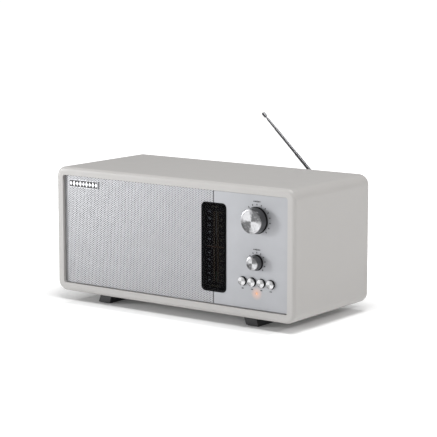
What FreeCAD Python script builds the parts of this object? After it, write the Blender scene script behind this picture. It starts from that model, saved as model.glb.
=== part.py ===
import FreeCAD, Part
import math
import os
import re

import Sketcher
from FreeCAD import Placement, Rotation, Vector

# A tabletop radio in a wooden sleeve: perforated grille over two loudspeakers, a cord-driven
# dial, two knobs, four buttons and a telescopic aerial. Millimetres, +X right, +Y to the back,
# +Z up. The origin is under the middle of the radio, on the surface that it stands on.

doc = FreeCAD.newDocument("radio")

# ---------------------------------------------------------------- driving sizes

SIZES = {
    "body_width": 330, "body_height": 144.4, "body_depth": 148.6,
    "wall": 9.5, "corner_round": 12, "edge_round": 4, "inner_round": 2.5,
    "fit_gap": 0.4, "sheet_gap": 0.8, "play": 0.05,
    "cleat": 14, "cleat_length": 12,
    "foot_height": 10.5, "foot_width": 16, "foot_length": 40, "foot_splay": 20,
    "foot_centre": 102, "foot_inset": 10, "pad_thickness": 1, "pad_margin": 1.2,
    "panel_recess": 3.5, "sheet_thickness": 1, "cloth_thickness": 0.6, "baffle_thickness": 8,
    "control_width": 98.2, "window_width": 33.4, "window_height": 98, "window_round": 5.5,
    "window_ledge": 2, "ledge_round": 1, "lens_proud": 0.6, "scale_depth": 4.2, "scale_thickness": 1.5,
    "scale_flange": 3.5, "pointer_travel": 37.7, "pointer_width": 22, "pointer_bar": 1.2,
    "pointer_gap": 1, "rail_radius": 1.5, "rail_back": 9, "carriage": 8,
    "carriage_height": 12, "arm_width": 2.6, "slot_width": 3,
    "column_inset": 41.5, "tuning_drop": 27.9, "volume_height": 61.5,
    "tuning_knob_radius": 14.5, "tuning_knob_length": 11.5,
    "volume_knob_radius": 8.6, "volume_knob_length": 9.5, "knob_gap": 0.7, "knob_taper": 1.2,
    "knob_bore_depth": 6.5, "shaft_radius": 3, "bushing_wall": 1.5, "bushing_flange": 7,
    "pot_radius": 8.5, "pot_depth": 9,
    "button_height": 39.5, "button_radius": 4.8, "button_pitch": 12.2, "button_proud": 2.6,
    "button_travel": 1.2, "stem_radius": 2, "stem_ring": 3.2, "lamp_height": 27.8,
    "lamp_radius": 1.4, "board_thickness": 1.6, "board_gap": 8,
    "cord_thickness": 0.8, "cord_seat": 0.15, "spindle_pitch": 4, "drum_pitch": 24,
    "idler_pitch": 8, "chassis_gap": 33, "chassis_thickness": 1.5, "pulley_width": 3,
    "drum_x": 16, "drum_z": 50, "idler_edge": 10.5, "post_radius": 3,
    "speaker_x_left": -104, "speaker_x_right": -6, "speaker_radius": 39.5, "speaker_rim": 5.2,
    "speaker_screw_inset": 2.3, "basket_depth": 22, "basket_back": 20, "basket_sheet": 1.5,
    "magnet_radius": 28, "magnet_front": 26.5, "magnet_back": 36, "yoke_radius": 26,
    "yoke_back": 40, "pole_radius": 6.8, "coil_gap_radius": 9.2,
    "badge_width": 42.5, "badge_height": 8.4, "badge_thickness": 1.2,
    "badge_side": 8, "badge_drop": 4.8,
    "back_recess": 1, "back_thickness": 3, "screw_radius": 1.25, "screw_head": 2.9,
    "head_height": 1.6, "head_rim": 0.9, "foot_screw_radius": 1.6, "foot_screw_seat": 3,
    "vent_left": -60, "vent_width": 2, "vent_half_height": 18, "vent_row": 88, "vent_count": 12,
    "jack_bore": 1.8, "jack_sleeve": 3, "jack_length": 14, "jack_pitch": 22,
    "jack_height": 32, "dc_bore": 2.8, "dc_pin": 1, "dc_sleeve": 5.5,
    "antenna_x": 120, "antenna_height": 103.8, "antenna_lean": 46.6, "antenna_gap": 8,
    "bracket_collar": 4, "bracket_flange": 9, "swivel_radius": 6, "stud_radius": 2,
    "clevis_round": 3, "clevis_ear": 1.2, "pin_radius": 0.9, "base_length": 81.3,
    "base_radius": 2, "middle_radius": 1.7, "upper_radius": 1.4, "rod_radius": 0.9,
    "tube_play": 0.08, "middle_length": 72, "middle_shown": 39, "upper_length": 70,
    "upper_shown": 15, "rod_length": 66, "rod_shown": 3.5, "tip_radius": 2, "tip_length": 6,
    "main_board_width": 130, "main_board_depth": 62, "standoff": 6,
    "ferrite_radius": 5, "ferrite_length": 120, "coil_radius": 7, "coil_length": 26,
}

# ---------------------------------------------------------------- places worked out from them

PLACES = {
    "knob_reach": "tuning_knob_length - panel_recess",
    "rear_reach": "antenna_gap + clevis_round",
    "front": "-(body_depth + rear_reach - knob_reach) / 2",
    "back": "front + body_depth",
    "underside": "foot_height",
    "crown": "underside + body_height",
    "inner_floor": "underside + wall",
    "ceiling": "crown - wall",
    "middle": "underside + body_height / 2",
    "half_width": "body_width / 2",
    "inner_half": "half_width - wall",
    "seam": "inner_half - control_width",
    "column": "inner_half - column_inset",
    "panel": "front + panel_recess",
    "cloth_face": "panel + sheet_thickness",
    "baffle_face": "cloth_face + cloth_thickness",
    "baffle_back": "baffle_face + baffle_thickness",
    "tuning_z": "ceiling - tuning_drop",
    "volume_z": "underside + volume_height",
    "button_z": "underside + button_height",
    "lamp_z": "underside + lamp_height",
    "half_window": "window_width / 2",
    "half_lens_height": "window_height / 2",
    "scale_face": "panel + scale_depth",
    "rail_y": "baffle_back + rail_back",
    "chassis_face": "baffle_back + chassis_gap",
    "chassis_back": "chassis_face + chassis_thickness",
    "cord_y": "chassis_back + 1 + pulley_width / 2",
    "idler_x": "seam + idler_pitch",
    "drum_centre_x": "column - drum_x",
    "drum_centre_z": "underside + drum_z",
    "idler_top": "ceiling - idler_edge",
    "idler_bottom": "inner_floor + idler_edge",
    "groove_drop": "cord_thickness / 2 + cord_seat",
    "board_face": "baffle_back + board_gap",
    "back_face": "back - back_recess - back_thickness",
    "antenna_z": "underside + antenna_height",
    "antenna_y": "back + antenna_gap",
    "jack_z": "underside + jack_height",
    "jack_mouth": "back - back_recess + 1",
    "speaker_opening": "speaker_radius - speaker_rim",
    "speaker_screw_circle": "speaker_radius - speaker_screw_inset",
    "basket_inner": "speaker_opening - 0.8",
    "plinth": "antenna_gap - clevis_round - 1.5",
    "eye_face": "base_radius + 0.15",
}

ALIASES = {}
for sheet_name, table in (("sizes", SIZES), ("places", PLACES)):
    for alias in table:
        ALIASES[alias] = f"{sheet_name}.{alias}"


def cell(formula):
    """Return a formula with every bare alias replaced by its full sheet address."""
    return re.sub(r"[a-z][a-z_]*", lambda word: ALIASES.get(word[0], word[0]), str(formula))


def fill_sheet(name, table, is_formula):
    """Make one spreadsheet with a named cell for each entry of the table."""
    sheet = doc.addObject("Spreadsheet::Sheet", name)
    for row, (alias, entry) in enumerate(table.items(), start=1):
        address = f"A{row}"
        sheet.set(address, "=" + cell(entry) if is_formula else str(entry))
        sheet.setAlias(address, alias)
    doc.recompute()
    return sheet


sizes = fill_sheet("sizes", SIZES, is_formula=False)
places = fill_sheet("places", PLACES, is_formula=True)


def value(formula):
    """Return a formula's number, for code that needs a first guess or a count."""
    return float(sizes.evalExpression(cell(formula)))


# ---------------------------------------------------------------- building blocks

FACING = {
    "up": Rotation(),
    "down": Rotation(Vector(1, 0, 0), 180),
    "front": Rotation(Vector(1, 0, 0), 90),
    "back": Rotation(Vector(1, 0, 0), -90),
    "right": Rotation(Vector(0, 1, 0), 90),
}
NODES = []


def node(item, name):
    """Give a finished object its node name and list it for export."""
    item.Label = name
    NODES.append(item)
    return item


def put(item, across, depth, up, facing="up"):
    """Place an object with its position bound to the sheets."""
    item.Placement = Placement(Vector(), FACING[facing])
    for axis, formula in zip("xyz", (across, depth, up)):
        item.setExpression(f".Placement.Base.{axis}", cell(formula))
    return item


def block(name, across, depth, up):
    """A box from three (low, high) pairs of formulas."""
    item = doc.addObject("Part::Box", name)
    for side, (low, high) in zip(("Length", "Width", "Height"), (across, depth, up)):
        item.setExpression(side, cell(f"({high}) - ({low})"))
    return put(item, across[0], depth[0], up[0])


def cylinder(name, radius, length):
    """A cylinder that still has to be placed."""
    item = doc.addObject("Part::Cylinder", name)
    item.setExpression("Radius", cell(radius))
    item.setExpression("Height", cell(length))
    return item


def rod(name, radius, length, across, depth, up, facing="up"):
    """A cylinder whose length runs the way it faces."""
    return put(cylinder(name, radius, length), across, depth, up, facing)


def fused(name, parts):
    """One solid from overlapping or touching parts."""
    item = doc.addObject("Part::MultiFuse", name)
    item.Shapes = parts
    item.Refine = True
    return item


def grouped(name, parts):
    """Several separate solids kept together."""
    item = doc.addObject("Part::Compound", name)
    item.Links = parts
    return item


def cut(name, base, tools):
    """A part with one or more tools taken away."""
    item = doc.addObject("Part::Cut", name)
    item.Base = base
    item.Tool = tools[0] if len(tools) == 1 else grouped(name + "_tools", tools)
    return item


class Profile:
    """A sketch on one of a body's own origin planes, each of its points bound to the sheets."""

    def __init__(self, body, name, role="XZ_Plane", offset="0"):
        self.sketch = body.newObject("Sketcher::SketchObject", name)
        plane = [item for item in body.Origin.OriginFeatures if item.Role == role][0]
        self.sketch.AttachmentSupport = (plane, [""])
        self.sketch.MapMode = "FlatFace"
        self.sketch.setExpression("AttachmentOffset.Base.z", cell(offset))

    def bind(self, kind, where, formula):
        """Add one dimension and tie it to the sheets."""
        rule = Sketcher.Constraint(kind, *where, value(formula))
        index = self.sketch.addConstraint(rule)
        self.sketch.setExpression(f"Constraints[{index}]", cell(formula))

    def polygon(self, corners):
        """A closed outline of straight lines through (across, up) corners."""
        first = self.sketch.GeometryCount
        spots = [Vector(value(across), value(up), 0) for across, up in corners]
        ends = spots[1:] + spots[:1]
        for start, end in zip(spots, ends):
            self.sketch.addGeometry(Part.LineSegment(start, end))
        for index, (across, up) in enumerate(corners):
            line = first + index
            after = first + (index + 1) % len(corners)
            self.sketch.addConstraint(Sketcher.Constraint("Coincident", line, 2, after, 1))
            self.bind("DistanceX", (-1, 1, line, 1), across)
            self.bind("DistanceY", (-1, 1, line, 1), up)
        return self

    def rectangle(self, across, up):
        """A closed rectangle from two (low, high) pairs."""
        low, high = across
        bottom, top = up
        return self.polygon([(low, bottom), (high, bottom), (high, top), (low, top)])

    def circle(self, across, up, radius):
        """A full circle."""
        centre = Vector(value(across), value(up), 0)
        index = self.sketch.addGeometry(Part.Circle(centre, Vector(0, 0, 1), value(radius)))
        self.bind("Radius", (index,), radius)
        self.bind("DistanceX", (-1, 1, index, 3), across)
        self.bind("DistanceY", (-1, 1, index, 3), up)
        return self


def new_body(name):
    """An empty design body."""
    return doc.addObject("PartDesign::Body", name)


def pad(body, name, profile, length):
    """Grow a profile on the XZ plane towards the back."""
    feature = body.newObject("PartDesign::Pad", name)
    feature.Profile = profile.sketch
    feature.Reversed = True
    feature.setExpression("Length", cell(length))
    doc.recompute()
    return feature


def pocket(body, name, profile, length):
    """Cut a profile on the XZ plane towards the back, and make sure that it cut something."""
    before = body.Shape.Volume
    feature = body.newObject("PartDesign::Pocket", name)
    feature.Profile = profile.sketch
    feature.Reversed = False
    feature.setExpression("Length", cell(length))
    doc.recompute()
    if body.Shape.Volume > before - 0.1:
        feature.Reversed = True
        doc.recompute()
    assert body.Shape.Volume < before - 0.1, f"{name} cut nothing"
    return feature


def edge_names(shape, wanted):
    """The names of the edges whose bounding box passes a test."""
    return [f"Edge{index}" for index, edge in enumerate(shape.Edges, start=1)
            if wanted(edge.BoundBox)]


def fillet(body, name, radius, wanted):
    """Round the edges that pass a test on their bounding box."""
    base = body.Tip
    feature = body.newObject("PartDesign::Fillet", name)
    feature.Base = (base, edge_names(base.Shape, wanted))
    feature.setExpression("Radius", cell(radius))
    doc.recompute()
    return feature


def same(first, second):
    """Whether two lengths agree closely enough to be the same edge."""
    return abs(first - second) < 1e-3


def along_y(box):
    """Whether an edge's box is a straight line along Y."""
    return box.YLength > 0.1 and box.XLength < 1e-3 and box.ZLength < 1e-3


def revolved(name, outline):
    """A body of revolution about its own +Z, from (radius, height) corners, not yet placed."""
    body = new_body(name)
    profile = Profile(body, name + "_profile").polygon(outline)
    feature = body.newObject("PartDesign::Revolution", name + "_turn")
    feature.Profile = profile.sketch
    feature.ReferenceAxis = (profile.sketch, ["V_Axis"])
    feature.Angle = 360
    doc.recompute()
    return body


def turned(name, outline, across, depth, up, facing="up"):
    """A placed body of revolution whose +Z points the way it faces."""
    return put(revolved(name, outline), across, depth, up, facing)


def screws(name, spots, facing, head, shank, thread):
    """A group of pan-head screws. Each spot is where a head's underside seats."""
    made = []
    for index, (across, depth, up) in enumerate(spots):
        outline = [("0", "0"), (shank, "0"), (shank, f"{thread} - 1"), ("0.4", thread),
                   ("0", thread)]
        body = turned(f"{name}_shank_{index}", outline, across, depth, up, facing)
        cap = [("0", "0"), (head, "0"), (head, "-head_rim"), (f"{head} * 0.7", "-head_height"),
               ("1", "-head_height"), ("0.9", "-head_rim"), ("0", "-head_rim")]
        top = turned(f"{name}_head_{index}", cap, across, depth, up, facing)
        made.append(fused(f"{name}_{index}", [body, top]))
    return node(grouped(name, made), name)


# ---------------------------------------------------------------- cabinet

def corner_rectangles(profile, reach):
    """Four squares in the cabinet's inner corners, sunk a little into the walls."""
    for side in ("-", ""):
        outer, inner = f"{side}(inner_half + 1)", f"{side}(inner_half - {reach})"
        for bottom, top in (("inner_floor - 1", f"inner_floor + {reach}"),
                            (f"ceiling - {reach}", "ceiling + 1")):
            profile.rectangle((outer, inner), (bottom, top))
    return profile


def cleat_spots(depth):
    """The screw places at the middle of the four cleats."""
    return [(f"{side}(inner_half - cleat / 2)", depth, up) for side in ("-", "")
            for up in ("inner_floor + cleat / 2", "ceiling - cleat / 2")]


def make_cabinet():
    """The wooden sleeve, open in front and behind, with glued corner cleats."""
    body = new_body("cabinet_sleeve")
    outer = Profile(body, "sleeve_outline", offset="-front")
    outer.rectangle(("-half_width", "half_width"), ("underside", "crown"))
    pad(body, "sleeve", outer, "body_depth")
    fillet(body, "long_corners", "corner_round", along_y)
    rim = [value("front"), value("back")]
    fillet(body, "rims", "edge_round",
           lambda box: box.YLength < 1e-3 and any(same(box.YMin, edge) for edge in rim))
    bore = Profile(body, "sleeve_bore", offset="-front + 1")
    bore.rectangle(("-inner_half", "inner_half"), ("inner_floor", "ceiling"))
    pocket(body, "hollow", bore, "body_depth + 2")
    half, floor, ceiling = value("inner_half"), value("inner_floor"), value("ceiling")
    fillet(body, "inner_corners", "inner_round",
           lambda box: along_y(box) and same(abs(box.XMin), half)
           and (same(box.ZMin, floor) or same(box.ZMin, ceiling)))
    for name, depth in (("front_cleats", "baffle_back"), ("back_cleats", "back_face - cleat_length")):
        corners = corner_rectangles(Profile(body, name + "_outline", offset=f"-({depth})"), "cleat")
        pad(body, name, corners, "cleat_length")
    for name, depth in (("front_cleat_holes", "baffle_back"),
                        ("back_cleat_holes", "back_face - cleat_length")):
        holes = Profile(body, name + "_outline", offset=f"-({depth})")
        for across, _, up in cleat_spots("0"):
            holes.circle(across, up, "screw_radius + play")
        pocket(body, name, holes, "cleat_length")
    pilots = [rod(f"foot_pilot_{index}", "foot_screw_radius + play", "wall - 2", across, depth,
                  "underside") for index, (across, depth) in enumerate(foot_spots())]
    return node(cut("cabinet_with_pilots", body, pilots), "cabinet_shell")


def foot_spots():
    """The middle of each foot's top, as (across, depth)."""
    ahead = "front + foot_inset + foot_length / 2"
    behind = "back - foot_inset - foot_length / 2"
    return [(f"{side}foot_centre", depth) for side in ("-", "") for depth in (ahead, behind)]


FOOT_NAMES = ("front_left_foot", "back_left_foot", "front_right_foot", "back_right_foot")


def make_feet():
    """Four splayed feet with a screw each, and soft pads under them."""
    lean = "tan(foot_splay) * (foot_height - pad_thickness) / 2"
    pads = []
    spots = foot_spots()
    for name, (across, depth) in zip(FOOT_NAMES, spots):
        out = "-" if across.startswith("-") else ""
        body = new_body(name + "_blank")
        outline = Profile(body, name + "_outline", offset=f"-({depth} - foot_length / 2)")
        low_in = f"{out}(foot_centre - foot_width / 2 + {lean})"
        low_out = f"{out}(foot_centre + foot_width / 2 + {lean})"
        high_in = f"{out}(foot_centre - foot_width / 2 - {lean})"
        high_out = f"{out}(foot_centre + foot_width / 2 - {lean})"
        outline.polygon([(low_in, "pad_thickness"), (low_out, "pad_thickness"),
                         (high_out, "underside"), (high_in, "underside")])
        pad(body, name + "_pad", outline, "foot_length")
        shank = rod(name + "_hole", "foot_screw_radius + play", "foot_height + 1",
                    across, depth, "0")
        seat = rod(name + "_seat", "screw_head + 0.5", "pad_thickness + foot_screw_seat",
                   across, depth, "0")
        node(cut(name, body, [shank, seat]), name)
        middle = f"{out}(foot_centre + {lean})"
        half = "(foot_width / 2 - pad_margin)"
        pads.append(block(name + "_rubber", (f"{middle} - {half}", f"{middle} + {half}"),
                          (f"{depth} - foot_length / 2 + pad_margin",
                           f"{depth} + foot_length / 2 - pad_margin"), ("0", "pad_thickness")))
    node(grouped("foot_pads", pads), "foot_pads")
    screws("foot_screws",
           [(across, depth, "pad_thickness + foot_screw_seat") for across, depth in spots], "up",
           "screw_head", "foot_screw_radius",
           "foot_height + wall - pad_thickness - foot_screw_seat - 2.5")


# ---------------------------------------------------------------- front

def window_edges(grow):
    """A test for the four edges along Y at the corners of the window, grown by a gap."""
    across = [value(f"seam {sign} (half_window + {grow})") for sign in "+-"]
    up = [value(f"middle {sign} (half_lens_height + {grow})") for sign in "+-"]
    return lambda box: (along_y(box) and any(same(box.XMin, spot) for spot in across)
                        and any(same(box.ZMin, spot) for spot in up))


def window_cut(body, name, grow, start, depth, radius):
    """Cut the window's rounded rectangle, grown by a gap, into a front sheet."""
    outline = Profile(body, name + "_outline", offset=f"-({start} - 1)")
    outline.rectangle((f"seam - half_window - ({grow})", f"seam + half_window + ({grow})"),
                      (f"middle - half_lens_height - ({grow})",
                       f"middle + half_lens_height + ({grow})"))
    pocket(body, name, outline, f"{depth} + 2")
    fillet(body, name + "_corners", radius, window_edges(grow))


def sheet_corners(gap):
    """A test for the edges along Y where a sheet, this far from the sleeve, has its corners."""
    side = value(f"inner_half - {gap}")
    ends = (value(f"inner_floor + {gap}"), value(f"ceiling - {gap}"))
    return lambda box: (along_y(box) and same(abs(box.XMin), side)
                        and any(same(box.ZMin, spot) for spot in ends))


def button_x(index):
    """The place of one of the four buttons across the column."""
    return f"column + ({index} - 1.5) * button_pitch"


def make_front():
    """The perforated grille, the control plate, the cloth and the baffle behind them."""
    low, high = "inner_floor + sheet_gap", "ceiling - sheet_gap"
    left, right = "-(inner_half - sheet_gap)", "inner_half - sheet_gap"
    grille = new_body("speaker_grille")
    outline = Profile(grille, "grille_outline", offset="-panel")
    pad(grille, "grille_sheet", outline.rectangle((left, "seam - 0.1"), (low, high)),
        "sheet_thickness")
    fillet(grille, "grille_corners", "inner_round", sheet_corners("sheet_gap"))
    window_cut(grille, "grille_window", "play", "panel", "sheet_thickness", "window_round")
    node(grille, "speaker_grille")

    plate = new_body("control_plate")
    outline = Profile(plate, "plate_outline", offset="-panel")
    pad(plate, "plate_sheet", outline.rectangle(("seam + 0.1", right), (low, high)),
        "sheet_thickness")
    fillet(plate, "plate_corners", "inner_round", sheet_corners("sheet_gap"))
    window_cut(plate, "plate_window", "play", "panel", "sheet_thickness", "window_round")
    holes = Profile(plate, "plate_holes", offset="-(panel - 1)")
    holes.circle("column", "tuning_z", "shaft_radius + bushing_wall + play")
    holes.circle("column", "volume_z", "shaft_radius + bushing_wall + play")
    holes.circle("column", "lamp_z", "lamp_radius + play")
    for index in range(4):
        holes.circle(button_x(index), "button_z", "button_radius + fit_gap")
    pocket(plate, "plate_drilling", holes, "sheet_thickness + 2")
    node(plate, "control_plate")

    cloth = new_body("grille_cloth")
    outline = Profile(cloth, "cloth_outline", offset="-cloth_face")
    outline.rectangle((f"{left} + 1", "seam - half_window - 1"), (f"{low} + 1", f"{high} - 1"))
    pad(cloth, "cloth_sheet", outline, "cloth_thickness")
    node(cloth, "grille_cloth")

    baffle = new_body("front_baffle")
    outline = Profile(baffle, "baffle_outline", offset="-baffle_face")
    outline.rectangle(("-(inner_half - fit_gap)", "inner_half - fit_gap"),
                      ("inner_floor + fit_gap", "ceiling - fit_gap"))
    pad(baffle, "baffle_board", outline, "baffle_thickness")
    fillet(baffle, "baffle_corners", "inner_round", sheet_corners("fit_gap"))
    window_cut(baffle, "baffle_window", "-window_ledge", "baffle_face", "baffle_thickness",
               "ledge_round")
    holes = Profile(baffle, "baffle_holes", offset="-(baffle_face - 1)")
    holes.circle("column", "tuning_z", "shaft_radius + bushing_wall + play")
    holes.circle("column", "volume_z", "shaft_radius + bushing_wall + play")
    holes.circle("column", "lamp_z", "lamp_radius + play")
    for centre in ("speaker_x_left", "speaker_x_right"):
        holes.circle(centre, "middle", "speaker_opening")
    for index in range(4):
        holes.circle(button_x(index), "button_z", "stem_radius + fit_gap")
    pocket(baffle, "baffle_drilling", holes, "baffle_thickness + 2")
    wells = Profile(baffle, "button_wells", offset="-(baffle_face - 1)")
    for index in range(4):
        wells.circle(button_x(index), "button_z", "button_radius + fit_gap")
    pocket(baffle, "button_well", wells, "baffle_thickness - 3 + 1")
    pilots = Profile(baffle, "pilots", offset="-(baffle_back - 6)")
    for across, depth, up in speaker_screw_spots() + cleat_spots("0"):
        pilots.circle(across, up, "screw_radius + play")
    pocket(baffle, "pilot_holes", pilots, "7")
    node(baffle, "front_baffle")
    screws("baffle_screws", cleat_spots("baffle_back + cleat_length"), "front",
           "screw_head", "screw_radius", "cleat_length + 5")


def make_badge():
    """A plain bar badge with a raised rim, fixed on the grille's upper left corner."""
    left = "-(inner_half - badge_side)"
    top = "ceiling - badge_drop"
    plate = block("badge_plate", (left, f"{left} + badge_width"),
                  ("panel - badge_thickness", "panel"), (f"{top} - badge_height", top))
    sunk = block("badge_sink", (f"{left} + 0.9", f"{left} + badge_width - 0.9"),
                 ("panel - badge_thickness - 1", "panel - badge_thickness + 0.4"),
                 (f"{top} - badge_height + 0.9", f"{top} - 0.9"))
    node(cut("badge", plate, [sunk]), "badge")


# ---------------------------------------------------------------- dial

def make_dial():
    """The lens, the scale plate behind it, its lamp strip, the pointer and its rail."""
    lens = new_body("dial_lens")
    outline = Profile(lens, "lens_outline", offset="-(panel - lens_proud)")
    outline.rectangle(("seam - half_window + 0.1", "seam + half_window - 0.1"),
                      ("middle - half_lens_height + 0.1", "middle + half_lens_height - 0.1"))
    pad(lens, "lens_sheet", outline, "baffle_face - panel + lens_proud")
    fillet(lens, "lens_corners", "window_round", along_y)
    node(lens, "dial_lens")

    inside = "half_window - window_ledge - fit_gap"
    tall = "half_lens_height - window_ledge - fit_gap"
    tray = block("scale_tray", (f"seam - ({inside})", f"seam + {inside}"),
                 ("scale_face", "baffle_back + scale_thickness"),
                 (f"middle - ({tall})", f"middle + {tall}"))
    flange = block("scale_flange_plate",
                   ("seam - half_window - scale_flange", "seam + half_window + scale_flange"),
                   ("baffle_back", "baffle_back + scale_thickness"),
                   ("middle - half_lens_height - scale_flange",
                    "middle + half_lens_height + scale_flange"))
    hollow = block("scale_hollow", (f"seam - ({inside}) + scale_thickness",
                                    f"seam + {inside} - scale_thickness"),
                   ("scale_face + scale_thickness", "baffle_back + scale_thickness + 1"),
                   (f"middle - ({tall}) + scale_thickness",
                    f"middle + {tall} - scale_thickness"))
    slot = block("scale_slot", ("seam - slot_width / 2", "seam + slot_width / 2"),
                 ("scale_face - 1", "baffle_back + 3"),
                 ("middle - pointer_travel - 2", "middle + pointer_travel + 2"))
    node(cut("dial_scale_plate", fused("scale_blank", [tray, flange]), [hollow, slot]),
         "dial_scale_plate")

    strip = block("lamp_strip", ("seam + 4", f"seam + {inside} - scale_thickness"),
                  ("baffle_back - board_thickness", "baffle_back"),
                  ("middle - pointer_travel", "middle + pointer_travel"))
    lamps = [block(f"lamp_{step}", ("seam + 6", "seam + 9"),
                   ("baffle_back - board_thickness - 0.8", "baffle_back - board_thickness"),
                   (f"middle + {step} * pointer_travel / 3 - 1.5",
                    f"middle + {step} * pointer_travel / 3 + 1.5"))
             for step in (-2, -1, 0, 1, 2)]
    node(fused("dial_backlight", [strip] + lamps), "dial_backlight")

    half = "carriage / 2"
    ends = []
    for sign in ("-", "+"):
        near = f"middle {sign} (half_lens_height + 1)"
        ends.append(block(f"rail_end_{'low' if sign == '-' else 'high'}",
                          (f"seam - {half}", f"seam + {half}"),
                          ("baffle_back + scale_thickness", "rail_y + 4"),
                          (f"{near} - 1.5", f"{near} + 1.5")))
    bar = rod("rail_bar", "rail_radius", "window_height + 2", "seam", "rail_y",
              "middle - half_lens_height - 1")
    node(fused("pointer_rail", ends + [bar]), "pointer_rail")
    make_pointer()


def make_pointer():
    """The pointer: a bar in front of the scale, a slider on the rail and a grip on the cord."""
    front_face = "scale_face - pointer_gap - 1"
    bar = block("pointer_bar", ("seam - pointer_width / 2", "seam + pointer_width / 2"),
                (front_face, f"{front_face} + 1"),
                ("middle - pointer_bar / 2", "middle + pointer_bar / 2"))
    stem = block("pointer_stem", ("seam - 1", "seam + 1"),
                 (front_face, "rail_y - carriage / 2 + 1"),
                 ("middle - pointer_bar / 2", "middle + pointer_bar / 2"))
    slider = block("pointer_slider", ("seam - carriage / 2", "seam + carriage / 2"),
                   ("rail_y - carriage / 2", "rail_y + carriage / 2"),
                   ("middle - carriage_height / 2", "middle + carriage_height / 2"))
    arm = block("pointer_arm", ("seam - arm_width / 2", "seam + arm_width / 2"),
                ("rail_y + carriage / 2 - 1", "cord_y - 0.5"), ("middle - 2", "middle + 2"))
    grip = block("pointer_grip", ("seam - 2.6", "seam + 2.6"), ("cord_y - 2", "cord_y + 1.5"),
                 ("middle - 4", "middle + 4"))
    channel = block("grip_channel", ("seam - cord_thickness", "seam + cord_thickness"),
                    ("cord_y - cord_thickness", "cord_y + 3"), ("middle - 5", "middle + 5"))
    bore = rod("slider_bore", "rail_radius + tube_play", "carriage_height + 2", "seam", "rail_y",
               "middle - carriage_height / 2 - 1")
    blank = fused("pointer_blank", [bar, stem, slider, arm, grip])
    node(cut("dial_pointer", blank, [channel, bore]), "dial_pointer")


def pulley_outline(pitch, bore):
    """A grooved pulley's outline, its width centred on the cord's plane."""
    rim = f"{pitch} + 1.2"
    root = f"{pitch} - groove_drop"
    side, lip = "pulley_width / 2", "cord_thickness / 2 + cord_seat"
    return [(bore, f"-({side})"), (rim, f"-({side})"), (rim, f"-({lip})"), (root, f"-({lip})"),
            (root, lip), (rim, lip), (rim, side), (bore, side)]


def make_drive():
    """The tuning shaft, drum, idlers and cord, on a chassis plate that stands on the baffle."""
    plate = block("chassis_plate", ("idler_x - 4", "inner_half - cleat - 6"),
                  ("chassis_face", "chassis_back"), ("idler_bottom - 5", "idler_top + 5"))
    posts = []
    beside_window = "seam + half_window + scale_flange + post_radius + 0.8"
    for side, across in (("left", beside_window), ("right", "column + 20")):
        for level, up in (("low", "idler_bottom - 2"), ("high", "idler_top + 2")):
            posts.append(rod(f"post_{side}_{level}", "post_radius", "chassis_gap + 0.5", across,
                             "baffle_back", up, "back"))
    pins = [rod(f"idler_pin_{level}", "1.5", "pulley_width + 3", "idler_x",
                "chassis_face + 0.5", level, "back") for level in ("idler_top", "idler_bottom")]
    holes = [rod("chassis_tuning_hole", "shaft_radius + fit_gap", "20", "column",
                 "chassis_face - 5", "tuning_z", "back"),
             rod("chassis_drum_hole", "shaft_radius + fit_gap", "20", "drum_centre_x",
                 "chassis_face - 5", "drum_centre_z", "back")]
    blank = fused("chassis_blank", [plate] + posts + pins)
    node(cut("dial_chassis", blank, holes), "dial_chassis")

    for name, up in (("upper_idler", "idler_top"), ("lower_idler", "idler_bottom")):
        outline = pulley_outline("idler_pitch", "1.5 + tube_play")
        node(turned(name, outline, "idler_x", "cord_y", up, "back"), name)

    drum = turned("drum_wheel", pulley_outline("drum_pitch", "0"), "drum_centre_x", "cord_y",
                  "drum_centre_z", "back")
    stub = rod("drum_shaft", "shaft_radius", "chassis_thickness + 1 + 12", "drum_centre_x",
               "chassis_face - 12", "drum_centre_z", "back")
    lightening = []
    for step in range(5):
        angle = math.radians(72 * step + 36)
        away = "(drum_pitch + shaft_radius) / 2"
        lightening.append(rod(f"drum_hole_{step}", "drum_pitch / 5", "12",
                              f"drum_centre_x + {away} * {math.cos(angle):.4f}", "cord_y - 6",
                              f"drum_centre_z + {away} * {math.sin(angle):.4f}", "back"))
    node(cut("dial_drum", fused("drum_blank", [drum, stub]), lightening), "dial_drum")

    case = block("capacitor_case", ("drum_centre_x - 12", "drum_centre_x + 12"),
                 ("chassis_face - 18", "chassis_face"),
                 ("drum_centre_z - 12", "drum_centre_z + 12"))
    well = rod("capacitor_well", "shaft_radius + tube_play", "16", "drum_centre_x",
               "chassis_face - 13", "drum_centre_z", "back")
    node(cut("tuning_capacitor", case, [well]), "tuning_capacitor")
    make_cord()


def belt_wire(circles, offset):
    """A closed wire round circles given in clockwise order, all on its inside."""
    touches = []
    count = len(circles)
    for index in range(count):
        (x_one, z_one, r_one), (x_two, z_two, r_two) = circles[index], circles[(index + 1) % count]
        run_x, run_z = x_two - x_one, z_two - z_one
        span = math.hypot(run_x, run_z)
        heading = math.atan2(run_z, run_x)
        tilt = math.acos((r_one - r_two) / span)
        normal = heading + tilt
        direction = Vector(math.cos(normal), 0, math.sin(normal))
        start = Vector(x_one, 0, z_one) + direction * (r_one + offset)
        end = Vector(x_two, 0, z_two) + direction * (r_two + offset)
        touches.append((start, end, normal))
    edges = []
    for index in range(count):
        start, end, normal = touches[index]
        edges.append(Part.LineSegment(start, end).toShape())
        after, _, next_normal = touches[(index + 1) % count]
        x_mid, z_mid, radius = circles[(index + 1) % count]
        turn = (normal - next_normal) % (2 * math.pi)
        halfway = normal - turn / 2
        bulge = Vector(math.cos(halfway), 0, math.sin(halfway)) * (radius + offset)
        edges.append(Part.Arc(end, Vector(x_mid, 0, z_mid) + bulge, after).toShape())
    return Part.Wire(edges)


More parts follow.
